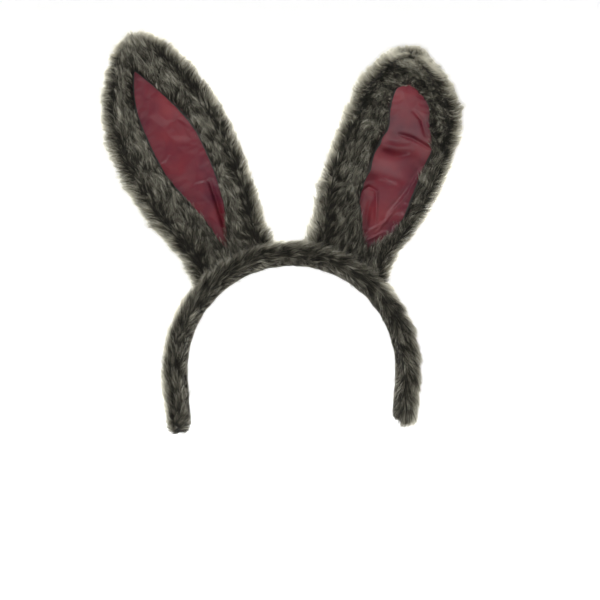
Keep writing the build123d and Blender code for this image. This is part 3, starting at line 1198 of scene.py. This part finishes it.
    def skin(self) -> Fabric:
        """Padded body of the ear: closed rings from inside the band's pile to the tip.

        Returns:
            The fabric, with the lay, length and tone of its pile.
        """
        v = self.ring_heights()[:, None]
        top = self.length - self.pile_depth
        half, middle = self.half(v, self.pile_depth), self.middle(v)
        left, right = middle - half, middle + half
        inner, outer = self.opening_edges(v, left, right)
        rim_share = np.linspace(0, 1, self.border_columns)[None]
        floor_share = np.linspace(-1, 1, self.floor_columns + 2)[None, 1:-1]
        back_share = np.sin(np.linspace(1, -1, self.back_columns)[None, 1:] * math.pi / 2)
        closing = np.sqrt(np.clip(1 - ease(top - 16, top + 4, v) ** 2, 0, 1))
        closing = np.where(v > top - 0.5, 0.05, closing)
        open_share = np.clip((outer - inner) / 14.0, 0, 1)
        swell = self.border_rise * np.sqrt(1 - (1 - np.minimum(rim_share / 0.3, 1)) ** 2)
        seam = 1.1 * np.exp(-(((rim_share - 0.26) / 0.06) ** 2))
        border = swell + 1.0 * np.sin(math.pi * rim_share) - seam
        floor = self.border_rise - self.floor_depth * (1 - floor_share**6) * open_share
        back = -3.0 * (1 - back_share**2) ** 0.35 - 3.4 * (1 - back_share**2)
        ones = np.ones_like(v)
        u = np.concatenate(
            [
                left + (inner - left) * rim_share,
                inner + (outer - inner) * (floor_share + 1) / 2,
                outer + (right - outer) * rim_share,
                middle + half * back_share,
            ],
            axis=1,
        )
        n = np.concatenate([border * ones, floor, border[:, ::-1] * ones, back * ones], axis=1)
        heights = v * np.ones_like(u)
        n = (n + self.cup(u, heights)) * closing
        points = self.place(u, heights, n)
        points = self.plumped(points, heights, floor_share.size)
        beside = ease(self.opening[0][0], self.opening[0][0] + 12, v)
        beside = beside * (1 - ease(self.opening[-1][0] - 12, self.opening[-1][0], v))
        maps = self.pile_maps(rim_share, floor_share, back_share, beside)
        sideways, upward, length, tone, cover = maps
        ahead = self.place(u + sideways, heights + upward, n)
        lay = unit(ahead - self.place(u, heights, n))
        # painted light: the pile is made paler near the tip and the back pile paler towards the
        # tip, to brighten the shaded back pile that shows over the bent tip; the pile is also
        # darker towards the base
        tone = tone + 0.6 * ease(top - 16, top - 1, heights) - 0.12 * (1 - ease(5, 40, heights))
        tone[:, -back_share.size :] += 0.4 * ease(top - 65, top - 25, v)
        return Fabric(points, lay, length * MM, cover, tone, outward=float(-self.side.sign))

    def opening_edges(self, v: np.ndarray, left: np.ndarray, right: np.ndarray) -> tuple:
        """Inner and outer edge of the opening in the front border.

        Args:
            v: heights of the rings.
            left: the ear's inner edge there.
            right: its outer edge.

        Returns:
            Both edges, almost meeting above and below the opening.
        """
        inner, outer = smooth_rows(self.opening, v)
        middle = (inner + outer) / 2
        half = np.maximum((outer - inner) / 2, 0.15)
        top = self.length - self.pile_depth
        centred = (left + right) / 2
        middle = middle + (centred - middle) * ease(self.opening[-1][0], top, v)
        room = 0.3 * (right - left)
        middle = np.clip(middle, left + room, right - room)
        half = np.minimum(half, np.maximum(0.02, 0.25 * (right - left)))
        return middle - half, middle + half

    def plumped(self, points: np.ndarray, heights: np.ndarray, floor_columns: int) -> np.ndarray:
        """Let the padding push the fabric out a little, with the sewn edges held.

        Args:
            points: rings of the ear.
            heights: how far up the ear each point is.
            floor_columns: columns under the lining.

        Returns:
            The settled rings.
        """
        held = np.zeros(points.shape[:2])
        held[:, self.border_columns - 1 : self.border_columns + floor_columns + 1] = 1.0
        held[:, 0] = held[:, -1] = 1.0
        held = np.maximum(held, 1 - ease(0.0, 14.0, heights))
        held = np.maximum(held, ease(self.length - 26, self.length - 12, heights))
        sheet = bare_fabric(points, float(-self.side.sign))
        run = ClothRun(frames=12, pressure=2.5, slack=0.01, cap=0.0012)
        return run.settle(points.reshape(-1, 3), sheet.faces(), held.ravel()).reshape(points.shape)

    def pile_maps(
        self,
        rim_share: np.ndarray,
        floor_share: np.ndarray,
        back_share: np.ndarray,
        beside: np.ndarray,
    ) -> tuple:
        """Lay, length, tone and cover of the pile across each ring.

        Args:
            rim_share: places across a border, from the rim on the inner side to the lining.
            floor_share: places across the floor under the lining.
            back_share: places across the back.
            beside: how far each ring is beside the lining, from 0 to 1.

        Returns:
            Sideways lean, upward lean, length, tone and cover of every column.
        """
        out = 1.15 * (1 - ease(0.08, 0.26, rim_share))
        out = out - 0.45 * np.exp(-(((rim_share - 0.36) / 0.1) ** 2))
        out = out + 0.3 * ease(0.6, 1.0, rim_share) * beside
        seam = np.exp(-(((rim_share - 0.27) / 0.07) ** 2))
        length = self.border_pile - 2.2 * seam - 1.8 * ease(0.75, 1.0, rim_share) * beside
        # painted light in the tone: paler at the rim (painted rim light, the glow of the backlit
        # outline) and darker on the parting seam (painted shade in the parting)
        tone = 0.19 + 0.75 * (1 - ease(0.02, 0.22, rim_share)) - 0.2 * seam
        cover = 1.0 - 0.6 * seam
        # painted rim light: the back pile's tone rises towards the ear's outline
        edge = np.abs(back_share) ** 8
        flat = 0 * floor_share
        ones = np.ones_like(beside)

        def ring(
            border: np.ndarray, floor: np.ndarray, back: np.ndarray, mirror: int = 1
        ) -> np.ndarray:
            """One map of the pile, for every ring.

            Args:
                border: values from the rim on the inner side to the lining.
                floor: values across the floor.
                back: values across the back.
                mirror: -1 where the inner border has the opposite sign.

            Returns:
                Both borders, the floor and the back in one row for each ring.
            """
            parts = (mirror * border, floor, border[:, ::-1], back)
            return np.concatenate([part * ones for part in parts], axis=1)

        sideways = ring(out, flat, back_share**3 * 0.9, mirror=-1)
        upward = ring(0.8 + 0 * rim_share, flat + 1, 0.85 + 0 * back_share)
        return (
            sideways,
            upward,
            ring(length, flat + self.floor_pile, self.back_pile + 0 * back_share),
            ring(tone, flat, 0.2 + 0.62 * edge),
            ring(cover, flat, 1 + 0 * back_share),
        )

    def build(
        self,
        pile: bpy.types.Material,
        cloth: bpy.types.Material,
        satin: bpy.types.Material,
        steel: bpy.types.Material,
        thread: bpy.types.Material,
    ) -> None:
        """Make the padded body, its pile, lining, wire and stitches, and hide the frame's nodes
        they stand in for.

        Args:
            pile: the strands' finish.
            cloth: the finish of the fabric under the pile.
            satin: the lining's finish.
            steel: the wire's finish.
            thread: the finish of the stitches round the lining.
        """
        skin = self.skin()
        split = int(np.argmin(np.abs(self.ring_heights() - self.split_line)))
        parts = (
            ("lower", slice(0, split + 1), self.tie_lower, ["base_fur"]),
            ("tip", slice(split, None), self.tie_tip, []),
        )
        for part, rows, tie, extra in parts:
            name = f"{self.side.value}_ear_{part}"
            fabric = skin.cut(rows=rows)
            body = show(f"{name}_padding", fabric.mesh(f"{name}_padding"), cloth)
            tie(body)
            layers = [f"{layer}_{part}" for layer in ("back_fur", "front_fur", "wadding")] + extra
            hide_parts(*[f"{self.side.value}_ear_{layer}" for layer in layers])
            self.pieces.append(body)
            for face, columns, density in self.faces_of_pile():
                strands = Pile(seed=self.seed + len(self.pieces), per_square_mm=density)
                grown = strands.grow(f"{name}_pile_{face}", fabric.cut(columns=columns), pile)
                tie(grown)
                self.pieces.append(grown)
        self.pieces.append(self.lining(satin))
        self.pieces.append(self.wire(steel))
        self.pieces.append(self.stitches(thread))

    def faces_of_pile(self) -> list:
        """Stretches of pile round the ear.

        Returns:
            Name, columns and strands per square millimetre of each.
        """
        first = self.border_columns
        second = first + self.floor_columns
        return [
            ("inner", slice(0, first), 6.0),
            ("outer", slice(second, second + first), 6.0),
            ("back", slice(second + first - 1, None), 3.6),
        ]

    def along(self, height: float) -> tuple:
        """Point on the ear's straight line.

        Args:
            height: millimetres up the ear.

        Returns:
            The point in the frame.
        """
        return tuple(self.origin + self.up * height * MM)

    def tie_lower(self, piece: bpy.types.Object) -> None:
        """Bake a piece's placement into its mesh; nothing lets it fold between the band and the
        ear.

        Args:
            piece: the piece to tie.
        """
        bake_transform(piece)

    def tie_tip(self, piece: bpy.types.Object) -> None:
        """Bake a piece's placement into its mesh; nothing lets it bend between the ear and its tip.

        Args:
            piece: the piece to tie.
        """
        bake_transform(piece)

    def lining(self, satin: bpy.types.Material) -> bpy.types.Object:
        """Satin lining: an almond sheet with soft folds, its edge tucked under the border.

        Args:
            satin: its finish.

        Returns:
            The lining.
        """
        name = f"{self.side.value}_ear_satin"
        low, high = self.opening[0][0] - 1.0, self.opening[-1][0] + 1.5
        v = np.linspace(low, high, self.lining_rows)
        inner, outer = smooth_rows(self.opening, v)
        middle, half = (inner + outer) / 2, (outer - inner) / 2 + self.tuck
        share = np.linspace(-1, 1, self.lining_columns)[None]
        u = middle[:, None] + half[:, None] * share
        heights = v[:, None] * np.ones_like(u)
        room = np.clip(half / half.max(), 0, 1)[:, None]
        n = self.border_rise - 0.4 - self.lining_dip * room * (1 - np.abs(share) ** 2.4)
        n = n + self.cup(u, heights)
        for crease in self.creases:
            n = n + crease.height(u, heights) * np.minimum(1, (1 - np.abs(share)) * 6)
        points = self.place(u, heights, n)
        held = np.maximum(ease(0.86, 0.97, np.abs(share)) * np.ones_like(u), 0.0)
        held[:3] = held[-3:] = 1.0
        fabric = bare_fabric(points, float(-self.side.sign))
        run = ClothRun(frames=18, slack=0.006, cap=0.0009, bending=5.0)
        settled = run.settle(points.reshape(-1, 3), fabric.faces(), held.ravel())
        fabric.points = settled.reshape(points.shape)
        sheet = show(name, fabric.mesh(name), satin)
        self.tie_tip(sheet)
        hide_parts(*[f"{self.side.value}_ear_lining_{part}" for part in ("lower", "tip")])
        return sheet

    def wire(self, steel: bpy.types.Material) -> bpy.types.Object:
        """Wire inside the ear's edge, up one side and down the other.

        Args:
            steel: its finish.

        Returns:
            The wire.
        """
        top = self.length - self.wire_inset
        foot = self.fold_line / 2
        rise = foot + (top - foot) * np.sin(np.linspace(0, math.pi / 2, self.wire_points))
        v = np.concatenate([rise, rise[-2::-1]])
        side = np.repeat([-1.0, 1.0], [len(rise), len(rise) - 1])
        u = self.middle(v) + side * self.half(v, self.wire_inset)
        n = self.cup(u, v) * ease(self.fold_line, 3 * self.fold_line, v)
        line = self.place(u, v, n)
        along = unit(np.gradient(line, axis=0))
        first = unit(np.cross(along, self.front))
        second = np.cross(along, first)
        turn = np.linspace(0, 2 * math.pi, self.wire_corners + 1)[:, None, None]
        ring = first * np.cos(turn) + second * np.sin(turn)
        points = (line + ring * self.wire_radius * MM).transpose(1, 0, 2)
        name = f"{self.side.value}_ear_wire"
        wire = show(name, bare_fabric(points).mesh(name), steel)
        self.tie_tip(wire)
        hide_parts(f"{name}_lower", f"{name}_tip")
        return wire

    def stitches(self, thread: bpy.types.Material) -> bpy.types.Object:
        """Short stitches that hold the border down on both edges of the lining.

        Args:
            thread: their finish.

        Returns:
            One object that holds all the stitches.
        """
        low, high = self.opening[0][0] + self.stitch_pitch, self.opening[-1][0] - self.stitch_pitch
        first = np.arange(low, high, self.stitch_pitch)
        v = first[:, None] + np.linspace(0.0, self.stitch_length, self.stitch_rings)[None]
        inner, outer = smooth_rows(self.opening, v)
        u = np.concatenate([inner - self.stitch_setback, outer + self.stitch_setback])
        v = np.concatenate([v, v])
        arched = self.stitch_arch * np.sin(np.linspace(0, math.pi, self.stitch_rings))[None]
        n = self.border_rise + self.cup(u, v) + arched
        line = self.place(u, v, n)
        along = unit(np.gradient(line, axis=1))
        side = unit(np.cross(along, self.front))
        other = np.cross(along, side)
        turn = np.linspace(0, 2 * math.pi, self.stitch_corners + 1)[:-1]
        taper = np.array([0.3, 1.0, 1.0, 1.0, 0.3])[None, :, None, None] * self.thread_radius * MM
        ring = side[..., None, :] * np.cos(turn)[:, None]
        ring = ring + other[..., None, :] * np.sin(turn)[:, None]
        points = line[..., None, :] + ring * taper
        count = len(points)
        number = np.arange(points[..., 0].size)
        number = number.reshape(count, self.stitch_rings, self.stitch_corners)
        after = np.roll(number, -1, axis=2)
        quads = (number[:, :-1], after[:, :-1], after[:, 1:], number[:, 1:])
        faces = np.stack([corner.ravel() for corner in quads], axis=1)
        name = f"{self.side.value}_ear_lining_thread"
        piece = show(name, mesh_from(name, points.reshape(-1, 3), faces), thread)
        self.tie_tip(piece)
        nodes = [f"{self.side.value}_ear_lining_stitches_{part}" for part in ("lower", "tip")]
        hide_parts(*nodes)
        return piece


@dataclass(frozen=True)
class Crease:
    """A soft ridge or valley along a chain of points (u outward, v up), in millimetres."""

    points: tuple
    depth: float  # minus for a valley
    width: float
    lip: float = 0.0  # height of a softer lip beside a valley

    def height(self, u: np.ndarray, v: np.ndarray) -> np.ndarray:
        """What the crease adds to a sheet.

        Args:
            u: outward places.
            v: heights up the ear.

        Returns:
            The change in forward place, millimetres.
        """
        nearest = np.full(u.shape, 1e9)
        fade = np.zeros(u.shape)
        chain = list(zip(self.points[:-1], self.points[1:]))
        for number, ((u0, v0), (u1, v1)) in enumerate(chain):
            along = np.array([u1 - u0, v1 - v0])
            share = ((u - u0) * along[0] + (v - v0) * along[1]) / (along @ along)
            held = np.clip(share, 0, 1)
            distance = np.hypot(u - u0 - held * along[0], v - v0 - held * along[1])
            place = (number + held) / len(chain)
            closer = distance < nearest
            nearest = np.where(closer, distance, nearest)
            fading = np.sin(math.pi * np.clip(0.06 + 0.88 * place, 0, 1)) ** 0.5
            fade = np.where(closer, fading, fade)
        core = np.exp(-((nearest / self.width) ** 2))
        lip = np.exp(-(((nearest - 2.2 * self.width) / (1.3 * self.width)) ** 2))
        return fade * (self.depth * core + self.lip * lip)


# ------------------------------------------------------------------ the band
@dataclass
class Band:
    """The fur sleeve round the springy band, one half at a time. Millimetres."""

    arm_lengths: dict
    head_radius: float = 74.0
    tuck_angle: float = 4.0
    end_cap: float = 4.0
    end_round: float = 5.0
    inner_gap: float = 0.9  # flattened pile between head and fabric
    thick: float = 9.4
    half_width: float = 9.8
    squareness: float = 2.6  # 2 is round, more is squarer
    pile_length: float = 11.5
    inner_pile: float = 4.2
    pile_density: float = 5.0  # strands per square millimetre
    pile_sway: float = 0.45
    rings: int = 120
    end_rings: int = 8
    corners: int = 48
    flex_zone: float = 0.014  # half the stretch over which an arm flexes, metres
    seed: int = 400
    pieces: list = field(default_factory=list)

    def path(self, side: Side, distance: np.ndarray) -> tuple:
        """The sleeve's inner line, from the arm's lower end up to the top of the arch.

        Args:
            side: which half.
            distance: millimetres from the lower end.

        Returns:
            Points on the inner line, the outward direction and the way up along it.
        """
        straight = self.arm_lengths[side] + self.end_cap
        lean = math.radians(self.tuck_angle)
        angle = -lean + np.maximum(distance - straight, 0) / self.head_radius
        below = np.maximum(straight - distance, 0)
        outward = np.stack([np.cos(angle), 0 * angle, np.sin(angle)], axis=-1)
        upward = np.stack([-np.sin(angle), 0 * angle, np.cos(angle)], axis=-1)
        line = outward * self.head_radius - upward * below[:, None]
        mirror = np.array([side.sign, 1, 1])
        return line * mirror, outward * mirror, upward * mirror

    def skin(self, side: Side) -> Fabric:
        """Half of the sleeve's fabric, with the lay, length and tone of its pile.

        Args:
            side: which half.

        Returns:
            Rings from the arm's closed end to the top of the arch.
        """
        straight = self.arm_lengths[side] + self.end_cap
        total = straight + self.head_radius * (math.pi / 2 + math.radians(self.tuck_angle))
        start = np.linspace(0, 1, self.end_rings + 1)[:-1] ** 1.6 * self.end_round
        distance = np.concatenate([start + 0.02, np.linspace(self.end_round, total, self.rings)])
        line, outward, upward = self.path(side, distance)
        rounded = 1 - np.clip(distance / self.end_round, 0, 1)
        swell = np.sqrt(1 - rounded**2)[:, None]
        turn = np.linspace(0, 2 * math.pi, self.corners + 1)[None]
        radial, across = [
            np.sign(wave) * np.abs(wave) ** (2 / self.squareness)
            for wave in (np.cos(turn), np.sin(turn))
        ]
        radial = self.inner_gap + self.thick / 2 * (1 + radial * swell)
        across = self.half_width * across * swell
        sideways = np.array([0.0, 1.0, 0.0])
        points = line[:, None] + outward[:, None] * radial[..., None] + sideways * across[..., None]
        outer_share = (1 + np.cos(turn)) / 2
        on_face = ease(0.08, 0.5, outer_share)
        length = self.inner_pile + (self.pile_length - self.inner_pile) * on_face
        length = length * (0.45 + 0.55 * swell)
        flow = upward[:, None] * -side.sign  # the pile is brushed from the left end to the right
        lay = flow * 0.8 + outward[:, None] * (0.35 * np.cos(turn))[..., None]
        lay = lay + sideways * (0.3 * np.sin(turn))[..., None]
        cover = (0.5 + 0.5 * on_face) * np.ones_like(radial)
        # painted rim light: the pile is paler on the sleeve's outer crest, where the outline glows
        tone = (0.13 + 0.62 * ease(0.80, 1.0, outer_share)) * np.ones_like(radial)
        return Fabric(points * MM, unit(lay), length * MM, cover, tone, float(-side.sign))

    def build(self, pile: bpy.types.Material, cloth: bpy.types.Material) -> None:
        """Make both halves of the sleeve with their pile, and hide the frame's nodes they stand in
        for.

        Args:
            pile: the strands' finish.
            cloth: the finish of the fabric under the pile.
        """
        for side in Side:
            skin = self.skin(side)
            name = f"band_sleeve_{side.value}"
            body = show(name, skin.mesh(name), cloth)
            self.tie(body, side)
            nodes = [f"band_fur_{side.value}", f"band_padding_{side.value}"]
            if side is Side.LEFT:
                nodes += ["band_fur_crown", "band_padding_crown"]
            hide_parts(*nodes)
            self.pieces.append(body)
            rows = skin.points.shape[0]
            for part, first, last in (("arm", 0, rows // 2), ("crown", rows // 2, rows)):
                strands = Pile(
                    seed=self.seed + len(self.pieces),
                    per_square_mm=self.pile_density,
                    sway=self.pile_sway,
                )
                stretch = skin.cut(rows=slice(first, last + 1))
                piece = strands.grow(f"band_pile_{side.value}_{part}", stretch, pile)
                self.tie(piece, side)
                self.pieces.append(piece)

    def tie(self, piece: bpy.types.Object, side: Side) -> None:
        """Bake a piece's placement into its mesh; nothing lets it flex between the crown and one
        arm.

        Args:
            piece: the piece to tie.
            side: the arm it reaches into; not used.
        """
        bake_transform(piece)


# ------------------------------------------------------------------ pieces kept from the frame
def dress_frame_nodes(finishes: dict) -> None:
    """Give every kept node its material.

    Args:
        finishes: part of a node's name to its material, in the order they are tried.
    """
    for name, node in frame["nodes"].items():
        if node.hide_render:
            continue
        material = next(made for word, made in finishes.items() if word in name)
        for slot in node.material_slots:
            slot.material = material
        log.info("dressed %s in %s", name, material.name)


# ------------------------------------------------------------------ studio
@dataclass
class Studio:
    """Camera, soft lights and a pale sweep of paper."""

    distance: float = 1.2
    view_width: float = 0.420  # what the camera takes in at the headband
    aim: tuple = (0.006, 0.049)
    floor_height: float = -0.165
    sky: float = 0.04
    lamps: tuple = (  # name, place, side of the square and watts
        ("key", (-0.7, -1.0, 1.3), 0.5, 15.0),
        ("fill", (1.2, -0.9, 0.5), 0.7, 3.0),
        ("back_left", (-0.9, 0.9, 0.9), 0.8, 44.0),
        ("back_right", (0.9, 0.9, 0.8), 0.8, 44.0),
    )
    paper_reach: float = 3.5
    paper_slope: float = 2.2  # how fast the backdrop rises past the floor
    paper_rings: int = 40
    paper_spokes: int = 64
    washers: int = 8
    washer_ring: float = 1.5  # radius and height of the ring the washers hang on
    washer_aim: float = 3.3  # radius of the ring of paper they face
    washer_size: float = 1.2
    wash_power: float = 2.5

    def camera(self) -> None:
        """Camera straight in front, level with the ears' bases."""
        data = bpy.data.cameras.new("camera")
        data.sensor_width = 36.0
        data.lens = data.sensor_width / (self.view_width / self.distance)
        camera = bpy.data.objects.new("camera", data)
        bpy.context.scene.collection.objects.link(camera)
        camera.location = (self.aim[0], -self.distance, self.aim[1])
        camera.rotation_euler = (math.pi / 2, 0, 0)
        bpy.context.scene.camera = camera

    def light(self, name: str, place: tuple, target: tuple, size: float, power: float) -> None:
        """One soft square light.

        Args:
            name: its name.
            place: where it hangs.
            target: what it faces.
            size: the side of its square.
            power: watts.
        """
        data = bpy.data.lights.new(name, "AREA")
        data.size = size
        data.energy = power
        lamp = bpy.data.objects.new(name, data)
        bpy.context.scene.collection.objects.link(lamp)
        lamp.location = place
        way = Vector(target) - Vector(place)
        lamp.rotation_euler = way.to_track_quat("-Z", "Y").to_euler()

    def sweep(self, paper: bpy.types.Material) -> None:
        """Floor that curves up into a backdrop all the way round.

        Args:
            paper: its finish.
        """
        share = np.linspace(0, 1, self.paper_rings)
        reach = self.paper_reach * share
        rise = self.floor_height + self.paper_slope * ease(0.55, 1.0, share) * (share - 0.45)
        turn = np.linspace(0, 2 * math.pi, self.paper_spokes)
        points = np.stack(
            [
                reach[:, None] * np.cos(turn)[None],
                reach[:, None] * np.sin(turn)[None],
                rise[:, None] * np.ones(self.paper_spokes)[None],
            ],
            axis=-1,
        )
        floor = show("studio_floor", bare_fabric(points).mesh("studio_floor"), paper)

    def build(self, paper: bpy.types.Material) -> None:
        """Set up the whole studio.

        Args:
            paper: the finish of the sweep.
        """
        self.camera()
        self.sweep(paper)
        world = bpy.data.worlds.new("studio")
        world.use_nodes = True
        sky = next(n for n in world.node_tree.nodes if n.type == "BACKGROUND")
        sky.inputs["Color"].default_value = (1.0, 1.0, 1.0, 1.0)
        sky.inputs["Strength"].default_value = self.sky
        bpy.context.scene.world = world
        middle = (0.0, 0.0, 0.1)
        for name, place, size, power in self.lamps:
            self.light(name, place, middle, size, power)
        for number in range(self.washers):
            turn = 2 * math.pi * (number + 0.5) / self.washers
            way = np.array([math.cos(turn), math.sin(turn), 0.0])
            place = tuple(way * self.washer_ring + (0, 0, self.washer_ring))
            target = tuple(way * self.washer_aim + (0, 0, middle[2]))
            self.light(f"washer_{number}", place, target, self.washer_size, self.wash_power)
        bpy.context.scene.view_settings.view_transform = "Standard"


# heights up the ear, then the inner and outer edge of the lining that shows, in millimetres
LEFT_OPENING = (
    (3.5, 0.5, 0.5),
    (12.0, -2.5, 4.0),
    (22.0, -6.0, 5.5),
    (46.0, -11.5, 13.0),
    (70.0, -13.0, 20.5),
    (94.0, -11.5, 22.5),
    (118.0, -2.5, 21.5),
    (134.0, 5.0, 17.0),
    (146.0, 11.5, 11.5),
)
RIGHT_OPENING = (
    (3.5, 14.0, 14.0),
    (20.0, 5.5, 26.5),
    (38.0, -2.5, 31.5),
    (62.0, -7.0, 37.0),
    (78.0, -3.5, 37.0),
    (92.0, 1.0, 34.5),
    (108.0, -1.5, 28.0),
    (119.0, -2.3, 25.0),
    (130.0, -1.0, 17.0),
    (138.0, 6.0, 6.0),
)
LEFT_CREASES = (
    Crease(points=((-6.5, 54), (-5.5, 40), (-4.0, 26), (-2.0, 9)), depth=-2.6, width=1.3),
    Crease(points=((-9.5, 48), (-8.5, 36), (-7.0, 24), (-4.5, 12)), depth=1.5, width=1.8),
    Crease(points=((1.0, 58), (0.0, 42), (-0.5, 28), (0.0, 14)), depth=1.2, width=3.4),
    Crease(points=((13, 62), (9, 78), (6, 96)), depth=1.3, width=6.0),
    Crease(points=((0, 104), (2, 92), (3, 80)), depth=-1.2, width=8.0),
)
RIGHT_CREASES = (
    Crease(points=((10, 91), (20, 91), (34, 88)), depth=1.9, width=1.3),
    Crease(points=((15, 112), (22, 108), (28, 96)), depth=1.5, width=1.6),
    Crease(points=((2, 80), (11, 80), (22, 83)), depth=-2.6, width=3.2, lip=1.2),
    Crease(points=((-4, 61), (7, 61), (20, 60)), depth=-1.8, width=4.5, lip=0.8),
    Crease(points=((-2, 32), (-2, 45), (1, 49), (7, 48), (10, 38), (13, 27)), depth=1.9, width=1.1),
    Crease(points=((5, 41), (6, 31), (8, 20)), depth=-2.2, width=1.6),
    Crease(points=((33, 74), (28, 52), (20, 32), (15, 20)), depth=1.3, width=0.9),
    Crease(points=((30, 72), (25, 52), (17, 34)), depth=-1.1, width=1.2),
    Crease(points=((8, 17), (14, 24), (20, 30)), depth=1.2, width=0.9),
    Crease(points=((10, 12), (15, 17), (20, 22)), depth=1.1, width=0.9),
)


def main() -> None:
    """Build and dress the headband, then the studio round it."""
    logging.basicConfig(level=logging.INFO, format="%(message)s")
    paper = StudioFinish("studio paper", 0.9).build()
    Studio().build(paper)
    pile = PileFinish("frosted pile", 0.5).build()
    knit = ClothFinish(
        "knitted backing", 0.9, tone=(0.018, 0.016, 0.013), worn_tone=(0.03, 0.027, 0.022)
    ).build()
    satin = SatinFinish("burgundy satin", 0.27).build()
    band = Band(arm_lengths={Side.LEFT: 33.0, Side.RIGHT: 25.0})
    band.build(pile, knit)
    left = Ear(Side.LEFT, 7.5, LEFT_OPENING, LEFT_CREASES, seed=100)
    right = Ear(
        Side.RIGHT, 10.0, RIGHT_OPENING, RIGHT_CREASES, seed=200, tip_return=1.0, tip_curl=24.0
    )
    steel = SteelFinish("drawn steel", 0.32).build()
    thread = ThreadFinish(
        "burgundy thread", 0.6, tone=(0.13, 0.03, 0.04), worn_tone=(0.09, 0.02, 0.03)
    ).build()
    for ear in (left, right):
        ear.build(pile, knit, satin, steel, thread)
    dress_frame_nodes(
        {
            "seam": ThreadFinish(
                "mauve thread", 0.6, tone=(0.24, 0.15, 0.13), worn_tone=(0.15, 0.09, 0.08)
            ).build(),
            "stitches": ThreadFinish(
                "dark thread", 0.6, tone=(0.03, 0.026, 0.022), worn_tone=(0.05, 0.045, 0.036)
            ).build(),
            "tapes": ClothFinish(
                "cloth tape",
                0.8,
                tone=(0.50, 0.47, 0.40),
                worn_tone=(0.38, 0.35, 0.30),
                yarns=700.0,
            ).build(),
            "core": PlasticFinish("black plastic", 0.45).build(),
            "wire": steel,
        }
    )
    for piece in band.pieces + left.pieces + right.pieces:
        log.info("%s has %d faces", piece.name, len(piece.data.polygons))


if __name__ == "__main__":
    main()
